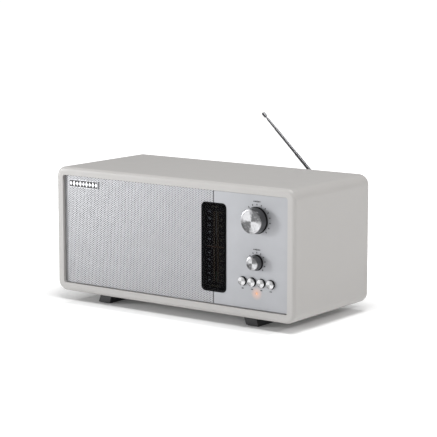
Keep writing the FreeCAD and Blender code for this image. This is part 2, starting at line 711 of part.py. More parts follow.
def make_cord():
    """The dial cord: one closed loop round the four pulleys, held clear of their grooves."""
    circles = [(value(across), value(up), value(pitch)) for across, up, pitch in (
        ("idler_x", "idler_top", "idler_pitch"), ("column", "tuning_z", "spindle_pitch"),
        ("drum_centre_x", "drum_centre_z", "drum_pitch"),
        ("idler_x", "idler_bottom", "idler_pitch"))]
    half = value("cord_thickness / 2")
    ring = Part.Face(belt_wire(circles, half)).cut(Part.Face(belt_wire(circles, -half)))
    cord = doc.addObject("Part::Feature", "dial_cord")
    cord.Shape = ring.extrude(Vector(0, 2 * half, 0)).Solids[0]
    cord.Placement = Placement(Vector(0, value("cord_y") - half, 0), Rotation())
    node(cord, "dial_cord")


# ---------------------------------------------------------------- knobs and buttons

def knob_outline(radius, length):
    """A turned knob: a plain skirt, a slight taper, a rounded front edge and a dished face."""
    bore, deep = "shaft_radius + play", "knob_bore_depth"
    tall = f"({length} - knob_gap)"
    nose = f"{radius} - knob_taper"
    return [(bore, "0"), (radius, "0"), (radius, "1.4"), (f"{radius} - 0.5", "2"),
            (nose, f"{tall} - 0.9"), (f"{nose} - 0.25", f"{tall} - 0.25"),
            (f"{nose} - 0.9", tall), (f"{nose} - 1.7", tall), (f"{nose} - 2.1", f"{tall} - 0.35"),
            ("0", f"{tall} - 0.35"), ("0", deep), (bore, deep)]


def make_knobs():
    """The tuning and volume knobs with their shafts, bushing and volume control."""
    node(turned("tuning_knob", knob_outline("tuning_knob_radius", "tuning_knob_length"),
                "column", "panel - knob_gap", "tuning_z", "front"), "tuning_knob")
    node(turned("volume_knob", knob_outline("volume_knob_radius", "volume_knob_length"),
                "column", "panel - knob_gap", "volume_z", "front"), "volume_knob")

    tip = "panel - knob_gap - knob_bore_depth + 0.5"
    end = "cord_y + pulley_width"
    lip = "cord_thickness / 2 + cord_seat"
    root = "spindle_pitch - groove_drop"
    rim = "spindle_pitch + 0.8"
    wide = "pulley_width / 2"
    outline = [("0", "0"), ("shaft_radius", "0"), ("shaft_radius", f"cord_y - {wide} - ({tip})"),
               (rim, f"cord_y - {wide} - ({tip})"), (rim, f"cord_y - ({lip}) - ({tip})"),
               (root, f"cord_y - ({lip}) - ({tip})"), (root, f"cord_y + {lip} - ({tip})"),
               (rim, f"cord_y + {lip} - ({tip})"), (rim, f"{end} - ({tip})"),
               ("0", f"{end} - ({tip})")]
    node(turned("tuning_shaft", outline, "column", tip, "tuning_z", "back"), "tuning_shaft")
    outer = "shaft_radius + bushing_wall"
    sleeve = [("shaft_radius + tube_play", "0"), (outer, "0"), (outer, "baffle_back - panel"),
              ("bushing_flange", "baffle_back - panel"),
              ("bushing_flange", "baffle_back - panel + 2"),
              ("shaft_radius + tube_play", "baffle_back - panel + 2")]
    node(turned("tuning_bushing", sleeve, "column", "panel", "tuning_z", "back"),
         "tuning_bushing")

    node(rod("volume_shaft", "shaft_radius", f"baffle_back + 5 - ({tip})", "column", tip,
             "volume_z", "back"), "volume_shaft")
    case = [("shaft_radius + tube_play", "0"), (outer, "0"), (outer, "baffle_back - panel"),
            ("pot_radius", "baffle_back - panel"), ("pot_radius", "baffle_back - panel + pot_depth"),
            ("0", "baffle_back - panel + pot_depth"), ("0", "baffle_back - panel + 6"),
            ("shaft_radius + tube_play", "baffle_back - panel + 6")]
    node(turned("volume_control", case, "column", "panel", "volume_z", "back"),
         "volume_control")


BUTTON_NAMES = ("power_button", "band_button", "seek_down_button", "seek_up_button")


def make_buttons():
    """Four push buttons, the tact switches behind them, their board and the indicator lens."""
    seat = "button_proud + baffle_back - panel + 0.3"
    plunger = f"panel - button_proud + ({seat}) + 1 + button_travel + 0.3"
    switches = []
    for index, name in enumerate(BUTTON_NAMES):
        deep = "button_proud + 4"
        outline = [("0", "0.2"), ("button_radius - 1.2", "0.2"), ("button_radius - 0.9", "0"),
                   ("button_radius - 0.4", "0"), ("button_radius", "0.4"),
                   ("button_radius", deep), ("stem_radius", deep), ("stem_radius", seat),
                   ("stem_ring", seat), ("stem_ring", f"{seat} + 1"), ("0", f"{seat} + 1")]
        node(turned(name, outline, button_x(index), "panel - button_proud", "button_z", "back"),
             name)
        base = block(f"switch_base_{index}", (f"{button_x(index)} - 3", f"{button_x(index)} + 3"),
                     (f"{plunger} + 1", "board_face"), ("button_z - 3", "button_z + 3"))
        tip = rod(f"switch_tip_{index}", "1.5", "2", button_x(index), plunger, "button_z", "back")
        switches.append(fused(f"switch_{index}", [base, tip]))
    board = block("control_board_sheet", ("column - 26", "column + 26"),
                  ("board_face", "board_face + board_thickness"),
                  ("lamp_z - 6", "button_z + 8"))
    chip = block("control_chip", ("column - 6", "column + 6"),
                 ("board_face + board_thickness", "board_face + board_thickness + 1.4"),
                 ("button_z - 8", "button_z"))
    posts = [rod(f"board_post_{'left' if sign == '-' else 'right'}", "2", "board_gap",
                 f"column {sign} 23", "baffle_back", "button_z + 4", "back") for sign in "-+"]
    node(fused("control_board", [board, chip] + posts + switches), "control_board")
    lens = [("0", "0"), ("lamp_radius * 0.7", "0.1"), ("lamp_radius", "0.6"),
            ("lamp_radius", "board_face - panel + 0.4"), ("0", "board_face - panel + 0.4")]
    node(turned("indicator_lens", lens, "column", "panel - 0.4", "lamp_z", "back"),
         "indicator_lens")


# ---------------------------------------------------------------- loudspeakers

def speaker_screw_spots():
    """Four screw places round each loudspeaker, on the diagonals."""
    reach = "speaker_screw_circle * cos(45)"
    return [(f"{centre} {across} {reach}", "baffle_back + 1.5", f"middle {up} {reach}")
            for centre in ("speaker_x_left", "speaker_x_right")
            for across in "+-" for up in "+-"]


def make_speaker(side, centre):
    """One three-inch loudspeaker: basket, magnet, cone with its coil, and surround."""
    spot = (centre, "baffle_back", "middle", "back")
    basket = turned(f"{side}_basket_blank", [
        ("basket_inner", "0"), ("speaker_radius", "0"), ("speaker_radius", "basket_sheet"),
        ("basket_inner + basket_sheet", "basket_sheet"), ("basket_back", "basket_depth"),
        ("basket_back", "basket_depth + basket_sheet"),
        ("coil_gap_radius + 0.3", "basket_depth + basket_sheet"),
        ("coil_gap_radius + 0.3", "basket_depth + 0.3"),
        ("basket_back - 1.2", "basket_depth + 0.3"), ("basket_inner", "basket_sheet")], *spot)
    near, far, half = "baffle_back + 6", "baffle_back + basket_depth - 3", "speaker_radius + 10"
    gaps = [block(f"{side}_basket_gap_wide", (f"{centre} - ({half})", f"{centre} + {half}"),
                  (near, far), ("middle - 9", "middle + 9")),
            block(f"{side}_basket_gap_tall", (f"{centre} - 9", f"{centre} + 9"), (near, far),
                  (f"middle - ({half})", f"middle + {half}"))]
    reach = "speaker_screw_circle * cos(45)"
    holes = [rod(f"{side}_basket_hole_{'r' if across == '+' else 'l'}{'t' if up == '+' else 'b'}",
                 "screw_radius + play", "4", f"{centre} {across} {reach}", "baffle_back - 1",
                 f"middle {up} {reach}", "back") for across in "+-" for up in "+-"]
    node(cut(f"{side}_speaker_basket", basket, gaps + holes), f"{side}_speaker_basket")
    face = "basket_depth + basket_sheet"
    node(turned(f"{side}_speaker_magnet", [
        ("coil_gap_radius", face), ("basket_back", face), ("basket_back", "magnet_front"),
        ("magnet_radius", "magnet_front"), ("magnet_radius", "magnet_back"),
        ("yoke_radius", "magnet_back"), ("yoke_radius", "yoke_back"), ("0", "yoke_back"),
        ("0", f"{face} - 0.5"), ("pole_radius", f"{face} - 0.5"), ("pole_radius", "magnet_back"),
        ("coil_gap_radius + 2.8", "magnet_back"), ("coil_gap_radius + 2.8", "magnet_front"),
        ("coil_gap_radius", "magnet_front")], *spot), f"{side}_speaker_magnet")
    coil, rim = "coil_gap_radius - 0.6", "speaker_opening - 5.9"
    node(turned(f"{side}_speaker_cone", [
        ("0", "12"), ("4", "12.4"), ("8", "14.5"), (f"{rim} - 0.8", "3"), (rim, "3.6"),
        (coil, "18"), (coil, "31"), (f"{coil} - 0.8", "31"), (f"{coil} - 0.8", "16"),
        ("4", "13.3"), ("0", "12.9")], *spot), f"{side}_speaker_cone")
    roll = "speaker_opening - 3.3"
    node(turned(f"{side}_speaker_surround", [
        (f"{roll} + 2.4", "1.3"), (f"{roll} + 1.2", "1.3"), (f"{roll} + 0.9", "-0.4"),
        (roll, "-1"), (f"{roll} - 0.9", "-0.4"), (f"{roll} - 1.4", "3"), (f"{roll} - 2.2", "3"),
        (f"{roll} - 1.7", "-1"), (roll, "-2"), (f"{roll} + 1.7", "-1"),
        (f"{roll} + 2.4", "0.3")], *spot), f"{side}_speaker_surround")


# ---------------------------------------------------------------- back and inside

def make_back():
    """The back panel with its vents and sockets, and the screws that hold it."""
    body = new_body("back_blank")
    outline = Profile(body, "back_outline", offset="-back_face")
    outline.rectangle(("-(inner_half - fit_gap)", "inner_half - fit_gap"),
                      ("inner_floor + fit_gap", "ceiling - fit_gap"))
    pad(body, "back_sheet", outline, "back_thickness")
    fillet(body, "back_corners", "inner_round", sheet_corners("fit_gap"))
    holes = Profile(body, "back_holes", offset="-(back_face - 1)")
    for across, depth, up in cleat_spots("0"):
        holes.circle(across, up, "screw_radius + play")
    for place, radius in zip(jack_places(), ("jack_sleeve", "jack_sleeve", "dc_sleeve")):
        holes.circle(place, "jack_z", f"{radius} + play")
    holes.circle("antenna_x", "antenna_z", "bracket_collar + play")
    pocket(body, "back_drilling", holes, "back_thickness + 2")
    slot = Profile(body, "vent", offset="-(back_face - 1)")
    slot.rectangle(("vent_left", "vent_left + vent_width"),
                   ("middle - vent_half_height", "middle + vent_half_height"))
    pocket(body, "vent_slot", slot, "back_thickness + 2")
    row = body.newObject("PartDesign::LinearPattern", "vent_row")
    row.Originals = [doc.getObject("vent_slot")]
    row.Direction = (slot.sketch, ["H_Axis"])
    row.setExpression("Length", cell("vent_row"))
    row.setExpression("Occurrences", cell("vent_count"))
    body.Tip = row
    doc.recompute()
    node(body, "back_panel")
    screws("back_screws", cleat_spots("back - back_recess"), "front", "screw_head",
           "screw_radius", "back_thickness + cleat_length - 3")


def jack_places():
    """The three sockets along the lower edge of the back: audio in, headphones and supply."""
    return ["-column + jack_pitch", "-column + 2 * jack_pitch", "-column"]


def make_jacks():
    """Two 3.5 mm sockets and the supply socket."""
    for name, place in zip(("aux_jack", "headphone_jack"), jack_places()):
        outline = [("jack_bore", "0"), ("jack_sleeve + 1", "0"), ("jack_sleeve + 1", "1"),
                   ("jack_sleeve", "1"), ("jack_sleeve", "1 + back_thickness"),
                   ("jack_sleeve + 1.5", "1 + back_thickness"),
                   ("jack_sleeve + 1.5", "jack_length + 1.5"), ("0", "jack_length + 1.5"),
                   ("0", "jack_length"), ("jack_bore", "jack_length")]
        node(turned(name, outline, place, "jack_mouth", "jack_z", "front"), name)
    outline = [("dc_bore", "0"), ("dc_sleeve + 1", "0"), ("dc_sleeve + 1", "1"),
               ("dc_sleeve", "1"), ("dc_sleeve", "1 + back_thickness"),
               ("dc_sleeve + 1", "1 + back_thickness"), ("dc_sleeve + 1", "13"), ("0", "13"),
               ("0", "1.5"), ("dc_pin * 0.6", "1.5"), ("dc_pin", "2.2"), ("dc_pin", "11"),
               ("dc_bore", "11")]
    node(turned("dc_jack", outline, jack_places()[2], "jack_mouth", "jack_z", "front"),
         "dc_jack")


def make_inside():
    """The main board on its standoffs, and the ferrite aerial in its clips."""
    low, high = "inner_floor + standoff", "inner_floor + standoff + board_thickness"
    near, far = "back_face - 20 - main_board_depth", "back_face - 20"
    half = "main_board_width / 2"
    parts = [block("main_board_sheet", (f"-({half})", half), (near, far), (low, high))]
    chips = ((-40, 15, 14, 14, 2), (-10, 30, 10, 22, 3), (25, 14, 18, 18, 2.4),
             (48, 40, 10, 10, 16), (34, 42, 8, 8, 12), (-52, 44, 10, 10, 16))
    for index, (across, depth, wide, deep, tall) in enumerate(chips):
        parts.append(block(f"chip_{index}", (str(across), f"{across} + {wide}"),
                           (f"{near} + {depth}", f"{near} + {depth} + {deep}"),
                           (high, f"{high} + {tall}")))
    for across in ("-1", "1"):
        for depth in (f"{near} + 5", f"{far} - 5"):
            label = f"standoff_{'left' if across == '-1' else 'right'}_{len(parts)}"
            parts.append(rod(label, "3", "standoff", f"{across} * ({half} - 5)", depth,
                             "inner_floor"))
    node(fused("main_board", parts), "main_board")

    depth, up = "back_face - 34", "ceiling - 16"
    left = "-ferrite_length / 2 - 20"
    bar = rod("ferrite_bar", "ferrite_radius", "ferrite_length", left, depth, up, "right")
    coil = rod("ferrite_coil", "coil_radius", "coil_length", f"{left} + 20", depth, up, "right")
    node(fused("ferrite_aerial", [bar, coil]), "ferrite_aerial")
    clips = []
    for index, place in enumerate((f"{left} + 8", f"{left} + ferrite_length - 14")):
        solid = block(f"clip_block_{index}", (place, f"{place} + 6"),
                      (f"{depth} - 8", f"{depth} + 8"), (f"{up} - 8", "ceiling"))
        bore = rod(f"clip_bore_{index}", "ferrite_radius + play", "8", f"{place} - 1", depth, up,
                   "right")
        clips.append(cut(f"clip_{index}", solid, [bore]))
    node(grouped("ferrite_clips", clips), "ferrite_clips")


# ---------------------------------------------------------------- aerial

def leaning(item, sideways="0", outward="0", along="0", lying=False):
    """Place a part by its offsets from the aerial's pivot, along the aerial or lying across it."""
    axis, turn = (1, "90 - antenna_lean") if lying else (-1, "antenna_lean")
    item.Placement = Placement(Vector(), Rotation(Vector(0, axis, 0), value(turn)))
    item.setExpression(".Placement.Rotation.Angle", cell(turn))
    across = f"({sideways}) * cos(antenna_lean) - ({along}) * sin(antenna_lean)"
    up = f"({sideways}) * sin(antenna_lean) + ({along}) * cos(antenna_lean)"
    for name, formula in (("x", f"antenna_x + {across}"), ("y", f"antenna_y + ({outward})"),
                          ("z", f"antenna_z + {up}")):
        item.setExpression(f".Placement.Base.{name}", cell(formula))
    return item


def tube_outline(outer, hole, length, solid_end="0"):
    """A tube with a slightly chamfered mouth, solid over its first stretch."""
    mouth = [(outer, f"{length} - 0.3"), (f"{outer} - 0.12", length), (hole, length)]
    if solid_end == "0":
        return [(hole, "0"), (outer, "0")] + mouth
    neck = f"{outer} - 0.3"
    return [("0", "0.5"), (neck, "0.5"), (neck, "clevis_round"), (outer, "clevis_round + 0.3"),
            *mouth, (hole, solid_end), ("0", solid_end)]


def make_aerial():
    """The bracket, swivel, hinge pin and four telescopic sections."""
    flange_back = "back_thickness + back_recess"
    node(turned("bracket_blank", [
        ("stud_radius + play", "0"), ("bracket_collar", "0"), ("bracket_collar", "back_thickness"),
        ("bracket_flange", "back_thickness"), ("bracket_flange", f"{flange_back} + 0.4"),
        ("bracket_flange - 0.6", f"{flange_back} + 0.8"),
        ("stud_radius + play", f"{flange_back} + 0.8")],
        "antenna_x", "back_face", "antenna_z", "back"), "antenna_bracket")

    disc = [("0", "0"), ("swivel_radius", "0"), ("swivel_radius", "plinth * 0.7"),
            ("swivel_radius - 0.6", "plinth"), ("0", "plinth")]
    parts = [turned("swivel_disc", disc, "antenna_x", "back + 1.1", "antenna_z", "back"),
             rod("swivel_stud", "stud_radius", f"{flange_back} + 3", "antenna_x",
                 "back_face - 1.5", "antenna_z", "back"),
             rod("swivel_washer", "stud_radius + 1.4", "1.2", "antenna_x", "back_face - 1.5",
                 "antenna_z", "back")]
    deep = "clevis_round + 1.9"
    for side, near in (("left", "-eye_face - clevis_ear"), ("right", "eye_face")):
        cheek = doc.addObject("Part::Box", f"swivel_cheek_{side}")
        cheek.setExpression("Length", cell("clevis_ear"))
        cheek.setExpression("Width", cell(deep))
        cheek.setExpression("Height", cell("2 * clevis_round"))
        eye = cylinder(f"swivel_eye_{side}", "clevis_round", "clevis_ear")
        parts += [leaning(cheek, near, f"-({deep})", "-clevis_round"),
                  leaning(eye, near, lying=True)]
    wide = "eye_face + clevis_ear"
    bore = leaning(cylinder("swivel_pin_bore", "pin_radius + play", f"2 * ({wide}) + 1"),
                   f"-({wide}) - 0.5", lying=True)
    pin = leaning(cylinder("hinge_pin", "pin_radius", f"2 * ({wide})"), f"-({wide})", lying=True)
    node(cut("antenna_swivel", fused("swivel_blank", parts), [bore]), "antenna_swivel")
    node(pin, "antenna_hinge_pin")

    stock = leaning(revolved("base_tube_stock", tube_outline(
        "base_radius", "middle_radius + tube_play", "base_length", "clevis_round + 3")))
    knuckle = leaning(cylinder("base_knuckle", "clevis_round - 0.4", "2 * base_radius + 0.1"),
                      "-base_radius - 0.05", lying=True)
    hinge = leaning(cylinder("knuckle_bore", "pin_radius + tube_play", "2 * base_radius + 2"),
                    "-base_radius - 1", lying=True)
    node(cut("antenna_base_tube", fused("base_tube_blank", [stock, knuckle]), [hinge]),
         "antenna_base_tube")

    middle_top = "base_length + middle_shown"
    upper_top = f"{middle_top} + upper_shown"
    node(leaning(revolved("antenna_middle_tube", tube_outline(
        "middle_radius", "upper_radius + tube_play", "middle_length")),
        along=f"{middle_top} - middle_length"), "antenna_middle_tube")
    node(leaning(revolved("antenna_upper_tube", tube_outline(
        "upper_radius", "rod_radius + tube_play", "upper_length")),
        along=f"{upper_top} - upper_length"), "antenna_upper_tube")
    tip = [("0", "0"), ("rod_radius", "0"), ("rod_radius", "rod_length"),
           ("tip_radius - 0.3", "rod_length"), ("tip_radius", "rod_length + 0.3"),
           ("tip_radius", "rod_length + tip_length - 0.8"),
           ("tip_radius - 0.8", "rod_length + tip_length"), ("0", "rod_length + tip_length")]
    node(leaning(revolved("antenna_tip_rod", tip),
                 along=f"{upper_top} + rod_shown - rod_length"), "antenna_tip_rod")


# ---------------------------------------------------------------- build, check and write

make_cabinet()
make_feet()
make_front()
make_badge()
make_dial()
make_drive()
make_knobs()
make_buttons()
make_speaker("left", "speaker_x_left")
make_speaker("right", "speaker_x_right")
screws("speaker_screws", speaker_screw_spots(), "front", "screw_head - 0.9", "screw_radius", "6.5")
make_back()
make_jacks()
make_inside()
make_aerial()
doc.recompute()

for item in doc.Objects:
    faults = [state for state in item.State if state in ("Invalid", "Error")]
    assert not faults, f"{item.Name} is {faults}"
for item in NODES:
    assert not item.Shape.isNull() and item.Shape.isValid(), f"{item.Label} has a bad shape"
labels = [item.Label for item in NODES]
assert len(labels) == len(set(labels)) <= 60, f"{len(labels)} nodes"

os.makedirs("parts", exist_ok=True)
for item in NODES:
    item.Shape.exportStep(f"parts/{item.Label}.step")
    box = item.Shape.BoundBox
    print(f"{item.Label}: {len(item.Shape.Solids)} solids, x {box.XMin:.1f} {box.XMax:.1f}, "
          f"y {box.YMin:.1f} {box.YMax:.1f}, z {box.ZMin:.1f} {box.ZMax:.1f}")
print(len(NODES), "nodes")
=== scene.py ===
"""Looks of the tabletop radio: finishes for every CAD node and the pieces modelled on top.

Lengths are in metres and angles in degrees, unless a docstring says otherwise.
"""

import logging
import math
from collections.abc import Callable, Iterator, Sequence
from contextlib import contextmanager
from dataclasses import dataclass, field
from enum import Enum

import bmesh
import bpy
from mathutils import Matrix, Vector


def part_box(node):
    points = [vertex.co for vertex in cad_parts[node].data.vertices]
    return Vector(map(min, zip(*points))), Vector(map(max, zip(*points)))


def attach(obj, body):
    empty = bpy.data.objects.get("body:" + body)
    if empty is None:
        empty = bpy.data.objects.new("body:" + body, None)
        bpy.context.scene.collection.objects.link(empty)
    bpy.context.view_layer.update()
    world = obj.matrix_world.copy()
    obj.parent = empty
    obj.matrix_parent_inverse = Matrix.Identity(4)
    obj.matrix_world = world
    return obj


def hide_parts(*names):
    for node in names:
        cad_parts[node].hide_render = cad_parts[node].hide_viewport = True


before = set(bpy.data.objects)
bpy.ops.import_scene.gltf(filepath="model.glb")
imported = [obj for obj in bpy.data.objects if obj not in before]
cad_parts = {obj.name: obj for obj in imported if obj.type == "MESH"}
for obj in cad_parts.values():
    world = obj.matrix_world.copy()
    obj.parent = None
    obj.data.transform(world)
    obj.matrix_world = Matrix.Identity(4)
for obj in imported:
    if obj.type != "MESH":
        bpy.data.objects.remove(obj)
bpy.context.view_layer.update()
MM = 0.001
LOG = logging.getLogger("radio")
FORWARD = -0.9  # faces whose normals lie below this along Y look to the front
BUTTONS = ("power_button", "band_button", "seek_down_button", "seek_up_button")

Colour = tuple[float, float, float]
Number = "Value | float"

# The sockets of a colour Mix node, which share their names with other sockets of it.
MIX_MASK, MIX_LOW, MIX_HIGH, MIX_RESULT = 0, 6, 7, 2


# ---------------- shader building


class Value:
    """A number socket in a material, on which Python's operators add Math nodes."""

    def __init__(self, paint: "Paint", socket: bpy.types.NodeSocket) -> None:
        """Keeps the socket and the material that it belongs to."""
        self.paint = paint
        self.socket = socket

    def math(self, operation: str, *others: Number, swap: bool = False) -> "Value":
        """Adds one Math node.

        Args:
            operation: The Math node's operation.
            others: The other inputs, as values or numbers.
            swap: Whether the first other input comes before this one.

        Returns:
            The node's result.
        """
        terms = [*others[:1], self, *others[1:]] if swap else [self, *others]
        inputs = dict(enumerate(terms))
        made = self.paint.node("ShaderNodeMath", {"operation": operation}, inputs)
        return Value(self.paint, made.outputs[0])

    def __add__(self, other: Number) -> "Value":
        """Adds."""
        return self.math("ADD", other)

    def __radd__(self, other: Number) -> "Value":
        """Adds, reflected."""
        return self.math("ADD", other)

    def __sub__(self, other: Number) -> "Value":
        """Subtracts."""
        return self.math("SUBTRACT", other)

    def __rsub__(self, other: Number) -> "Value":
        """Subtracts, reflected."""
        return self.math("SUBTRACT", other, swap=True)

    def __mul__(self, other: Number) -> "Value":
        """Multiplies."""
        return self.math("MULTIPLY", other)

    def __rmul__(self, other: Number) -> "Value":
        """Multiplies, reflected."""
        return self.math("MULTIPLY", other)

    def __truediv__(self, other: Number) -> "Value":
        """Divides."""
        return self.math("DIVIDE", other)

    def __rtruediv__(self, other: Number) -> "Value":
        """Divides, reflected."""
        return self.math("DIVIDE", other, swap=True)

    def above(self, edge: float, soft: float = 1e-5) -> "Value":
        """Gives 0 below an edge and 1 above it, with a soft step."""
        return ((self - edge) / soft + 0.5).math("MAXIMUM", 0.0).math("MINIMUM", 1.0)

    def wave(self, length: float) -> "Value":
        """Gives a sine of this value, from 0 to 1, with the given wavelength."""
        return (self * (2 * math.pi / length)).math("SINE") * 0.5 + 0.5


class Paint:
    """One procedural material while it is being built."""

    def __init__(self, name: str) -> None:
        """Makes the material with a Principled shader and its output.

        Args:
            name: The material's name.
        """
        self.material = bpy.data.materials.new(name)
        self.material.use_nodes = True
        self.tree = self.material.node_tree
        self.tree.nodes.clear()
        self.shader = self.node("ShaderNodeBsdfPrincipled")
        output = self.node("ShaderNodeOutputMaterial")
        self.tree.links.new(self.shader.outputs[0], output.inputs["Surface"])
        self.place = self.node("ShaderNodeTexCoord").outputs["Object"]
        axes = self.node("ShaderNodeSeparateXYZ", inputs={0: self.place})
        self.x, self.y, self.z = (Value(self, axes.outputs[axis]) for axis in "XYZ")

    def node(self, kind: str, settings: dict | None = None,
             inputs: dict | None = None) -> bpy.types.Node:
        """Adds any node.

        Args:
            kind: The node's type.
            settings: Properties of the node, set first.
            inputs: Values or links of its sockets, by name or index.

        Returns:
            The new node.
        """
        made = self.tree.nodes.new(kind)
        for key, setting in (settings or {}).items():
            setattr(made, key, setting)
        for key, entry in (inputs or {}).items():
            if isinstance(entry, Value):
                entry = entry.socket
            if isinstance(entry, bpy.types.NodeSocket):
                self.tree.links.new(entry, made.inputs[key])
            else:
                made.inputs[key].default_value = entry
        return made

    def feed(self, name: str, entry: object) -> None:
        """Sets or links one of the Principled shader's sockets."""
        if isinstance(entry, Value):
            entry = entry.socket
        if isinstance(entry, bpy.types.NodeSocket):
            self.tree.links.new(entry, self.shader.inputs[name])
        elif isinstance(entry, tuple) and len(entry) == 3:
            self.shader.inputs[name].default_value = (*entry, 1.0)
        else:
            self.shader.inputs[name].default_value = entry

    def noise(self, scale: float, detail: float = 2.0, stretch: Colour = (1, 1, 1)) -> Value:
        """A cloud of values about 0.5 over object space, in cycles a metre."""
        spot = self.place
        if stretch != (1, 1, 1):
            turn = self.node("ShaderNodeMapping", inputs={"Vector": spot, "Scale": stretch})
            spot = turn.outputs[0]
        made = self.node("ShaderNodeTexNoise",
                         inputs={"Vector": spot, "Scale": scale, "Detail": detail})
        return Value(self, made.outputs["Fac"])

    def radius(self, first: Value, second: Value) -> Value:
        """The distance from an axis, given the two offsets across it."""
        return (first * first + second * second).math("SQRT")

    def blend(self, mask: Value, low: object, high: object) -> bpy.types.NodeSocket:
        """Mixes two colours by a mask."""
        made = self.node("ShaderNodeMix", {"data_type": "RGBA"}, {MIX_MASK: mask})
        for index, entry in ((MIX_LOW, low), (MIX_HIGH, high)):
            if isinstance(entry, bpy.types.NodeSocket):
                self.tree.links.new(entry, made.inputs[index])
            else:
                made.inputs[index].default_value = (*entry, 1.0)
        return made.outputs[MIX_RESULT]

    def bump(self, height: Value, distance: float) -> bpy.types.NodeSocket:
        """A bumped normal from a height that runs from 0 to 1."""
        inputs = {"Height": height, "Distance": distance, "Strength": 1.0}
        return self.node("ShaderNodeBump", inputs=inputs).outputs[0]


def shade(colour: Colour, factor: float) -> Colour:
    """A colour made lighter or darker."""
    return tuple(min(channel * factor, 1.0) for channel in colour)


@dataclass(frozen=True)
class Finish:
    """A moulded, painted or plated surface: its colour drifts a little and its skin has grain.

    Attributes:
        name: The material's name.
        colour: Its base colour.
        roughness: Its mean roughness.
        metallic: 1 for bare metal.
        drift: How far the colour drifts from place to place.
        drift_scale: Cycles of that drift in a metre.
        grain: The height of its skin's grain in metres.
        grain_scale: Cycles of that grain in a metre.
        coat: The weight of a clear coat.
        specular: How strongly its skin mirrors; 0.5 is usual.
        wear: How far the roughness drifts from place to place.
    """

    name: str
    colour: Colour
    roughness: float = 0.5
    metallic: float = 0.0
    drift: float = 0.06
    drift_scale: float = 60.0
    grain: float = 0.00002
    grain_scale: float = 1600.0
    coat: float = 0.0
    specular: float = 0.5
    wear: float = 0.12

    def tint(self, paint: Paint) -> object:
        """The colour over the surface."""
        cloud = paint.noise(self.drift_scale, 3.0)
        return paint.blend(cloud, shade(self.colour, 1 - self.drift),
                           shade(self.colour, 1 + self.drift))

    def polish(self, paint: Paint) -> Value:
        """The roughness over the surface."""
        cloud = paint.noise(self.drift_scale * 3, 2.0)
        return cloud * self.wear + (self.roughness - self.wear / 2)

    def relief(self, paint: Paint) -> object:
        """The bumped normal over the surface."""
        return paint.bump(paint.noise(self.grain_scale, 2.0), self.grain)

    def extras(self, paint: Paint) -> None:
        """Anything that one finish adds to the shader."""

    def make(self) -> bpy.types.Material:
        """Builds the material, once.

        Returns:
            The material.
        """
        if self.name in bpy.data.materials:
            return bpy.data.materials[self.name]
        paint = Paint(self.name)
        paint.feed("Base Color", self.tint(paint))
        paint.feed("Roughness", self.polish(paint))
        paint.feed("Metallic", self.metallic)
        paint.feed("Normal", self.relief(paint))
        paint.feed("Coat Weight", self.coat)
        paint.feed("Specular IOR Level", self.specular)
        self.extras(paint)
        return paint.material


@dataclass(frozen=True)
class BrushedSheet(Finish):
    """Metal sheet brushed along X, with fine streaks in its sheen.

    Attributes:
        streaks: Cycles of the sheen's streaks in a metre, up the sheet.
        scratches: Cycles of the scratches in a metre, up the sheet.
        run: How the pattern is squeezed along each axis.
    """

    wear: float = 0.16
    streaks: float = 2500.0
    scratches: float = 4000.0
    run: Colour = (0.02, 1.0, 1.0)

    def polish(self, paint: Paint) -> Value:
        """Streaks of roughness along X."""
        streak = paint.noise(self.streaks, 3.0, self.run)
        return streak * self.wear + (self.roughness - self.wear / 2)

    def relief(self, paint: Paint) -> object:
        """Fine scratches along X."""
        return paint.bump(paint.noise(self.scratches, 2.0, self.run), self.grain)


@dataclass(frozen=True)
class SpunMetal(Finish):
    """A turned face with fine rings round its axis; the four-part sheen of a spun disc is a painted
    reflection in its colour.

    Attributes:
        centre: The axis's place across and up.
        rim: The depth from which the part's side shows.
        shade_band: The depth from which the part is black: painted shade for the dark gap between
            the part and the plate.
        pitch: The distance between the turning rings.
        dull: How bright the quarters of weaker painted reflection are, against the bright ones.
        side: How bright the side's painted shade is, against the bright quarters.
        contrast: How sharply the quarters meet.
        mottle: How far the painted reflection's brightness wanders.
        mottle_scale: Cycles of that in a metre.
        edge: The width of the step from face to side.
        black: The colour of the painted shade at the base.
    """

    centre: tuple[float, float] = (0.0, 0.0)
    rim: float = 1.0
    shade_band: float = 1.0
    pitch: float = 0.00035
    dull: float = 0.25
    side: float = 0.4
    contrast: float = 1.9
    mottle: float = 1.5
    mottle_scale: float = 520.0
    edge: float = 0.0004
    black: Colour = (0.01, 0.01, 0.011)

    def offsets(self, paint: Paint) -> tuple[Value, Value]:
        """The offsets across and up from the part's axis."""
        return paint.x - self.centre[0], paint.z - self.centre[1]

    def tint(self, paint: Paint) -> object:
        """Painted reflection in bright and dull quarters round the axis, painted shade on the side
        and black painted shade at the base.
        """
        across, up = self.offsets(paint)
        away = paint.radius(across, up).math("MAXIMUM", 1e-5)
        # Painted reflection: the spun disc's sheen, bright in two opposite quarters and dim in the
        # other two.
        quarter = across * up / (away * away) * -2.0
        sheen_fan = (quarter * self.contrast).math("MAXIMUM", -1.0).math("MINIMUM", 1.0) * 0.5 + 0.5
        cloud = paint.noise(self.mottle_scale, 3.0) * self.mottle - self.mottle / 2
        mask = (sheen_fan + cloud).math("MAXIMUM", 0.0).math("MINIMUM", 1.0)
        metal = paint.blend(mask, shade(self.colour, self.dull), self.colour)
        # Painted shade on the side, then black painted shade at the base for the gap to the plate.
        shaded_wall = shade(self.colour, self.side)
        turned = paint.blend(paint.y.above(self.rim, self.edge), metal, shaded_wall)
        return paint.blend(paint.y.above(self.shade_band), turned, self.black)

    def relief(self, paint: Paint) -> object:
        """Turning rings."""
        across, up = self.offsets(paint)
        rings = paint.radius(across, up).wave(self.pitch)
        return paint.bump(rings, self.grain)

    def extras(self, paint: Paint) -> None:
        """The band of painted shade at the base isn't metal."""
        paint.feed("Metallic", 1.0 - paint.y.above(self.shade_band))


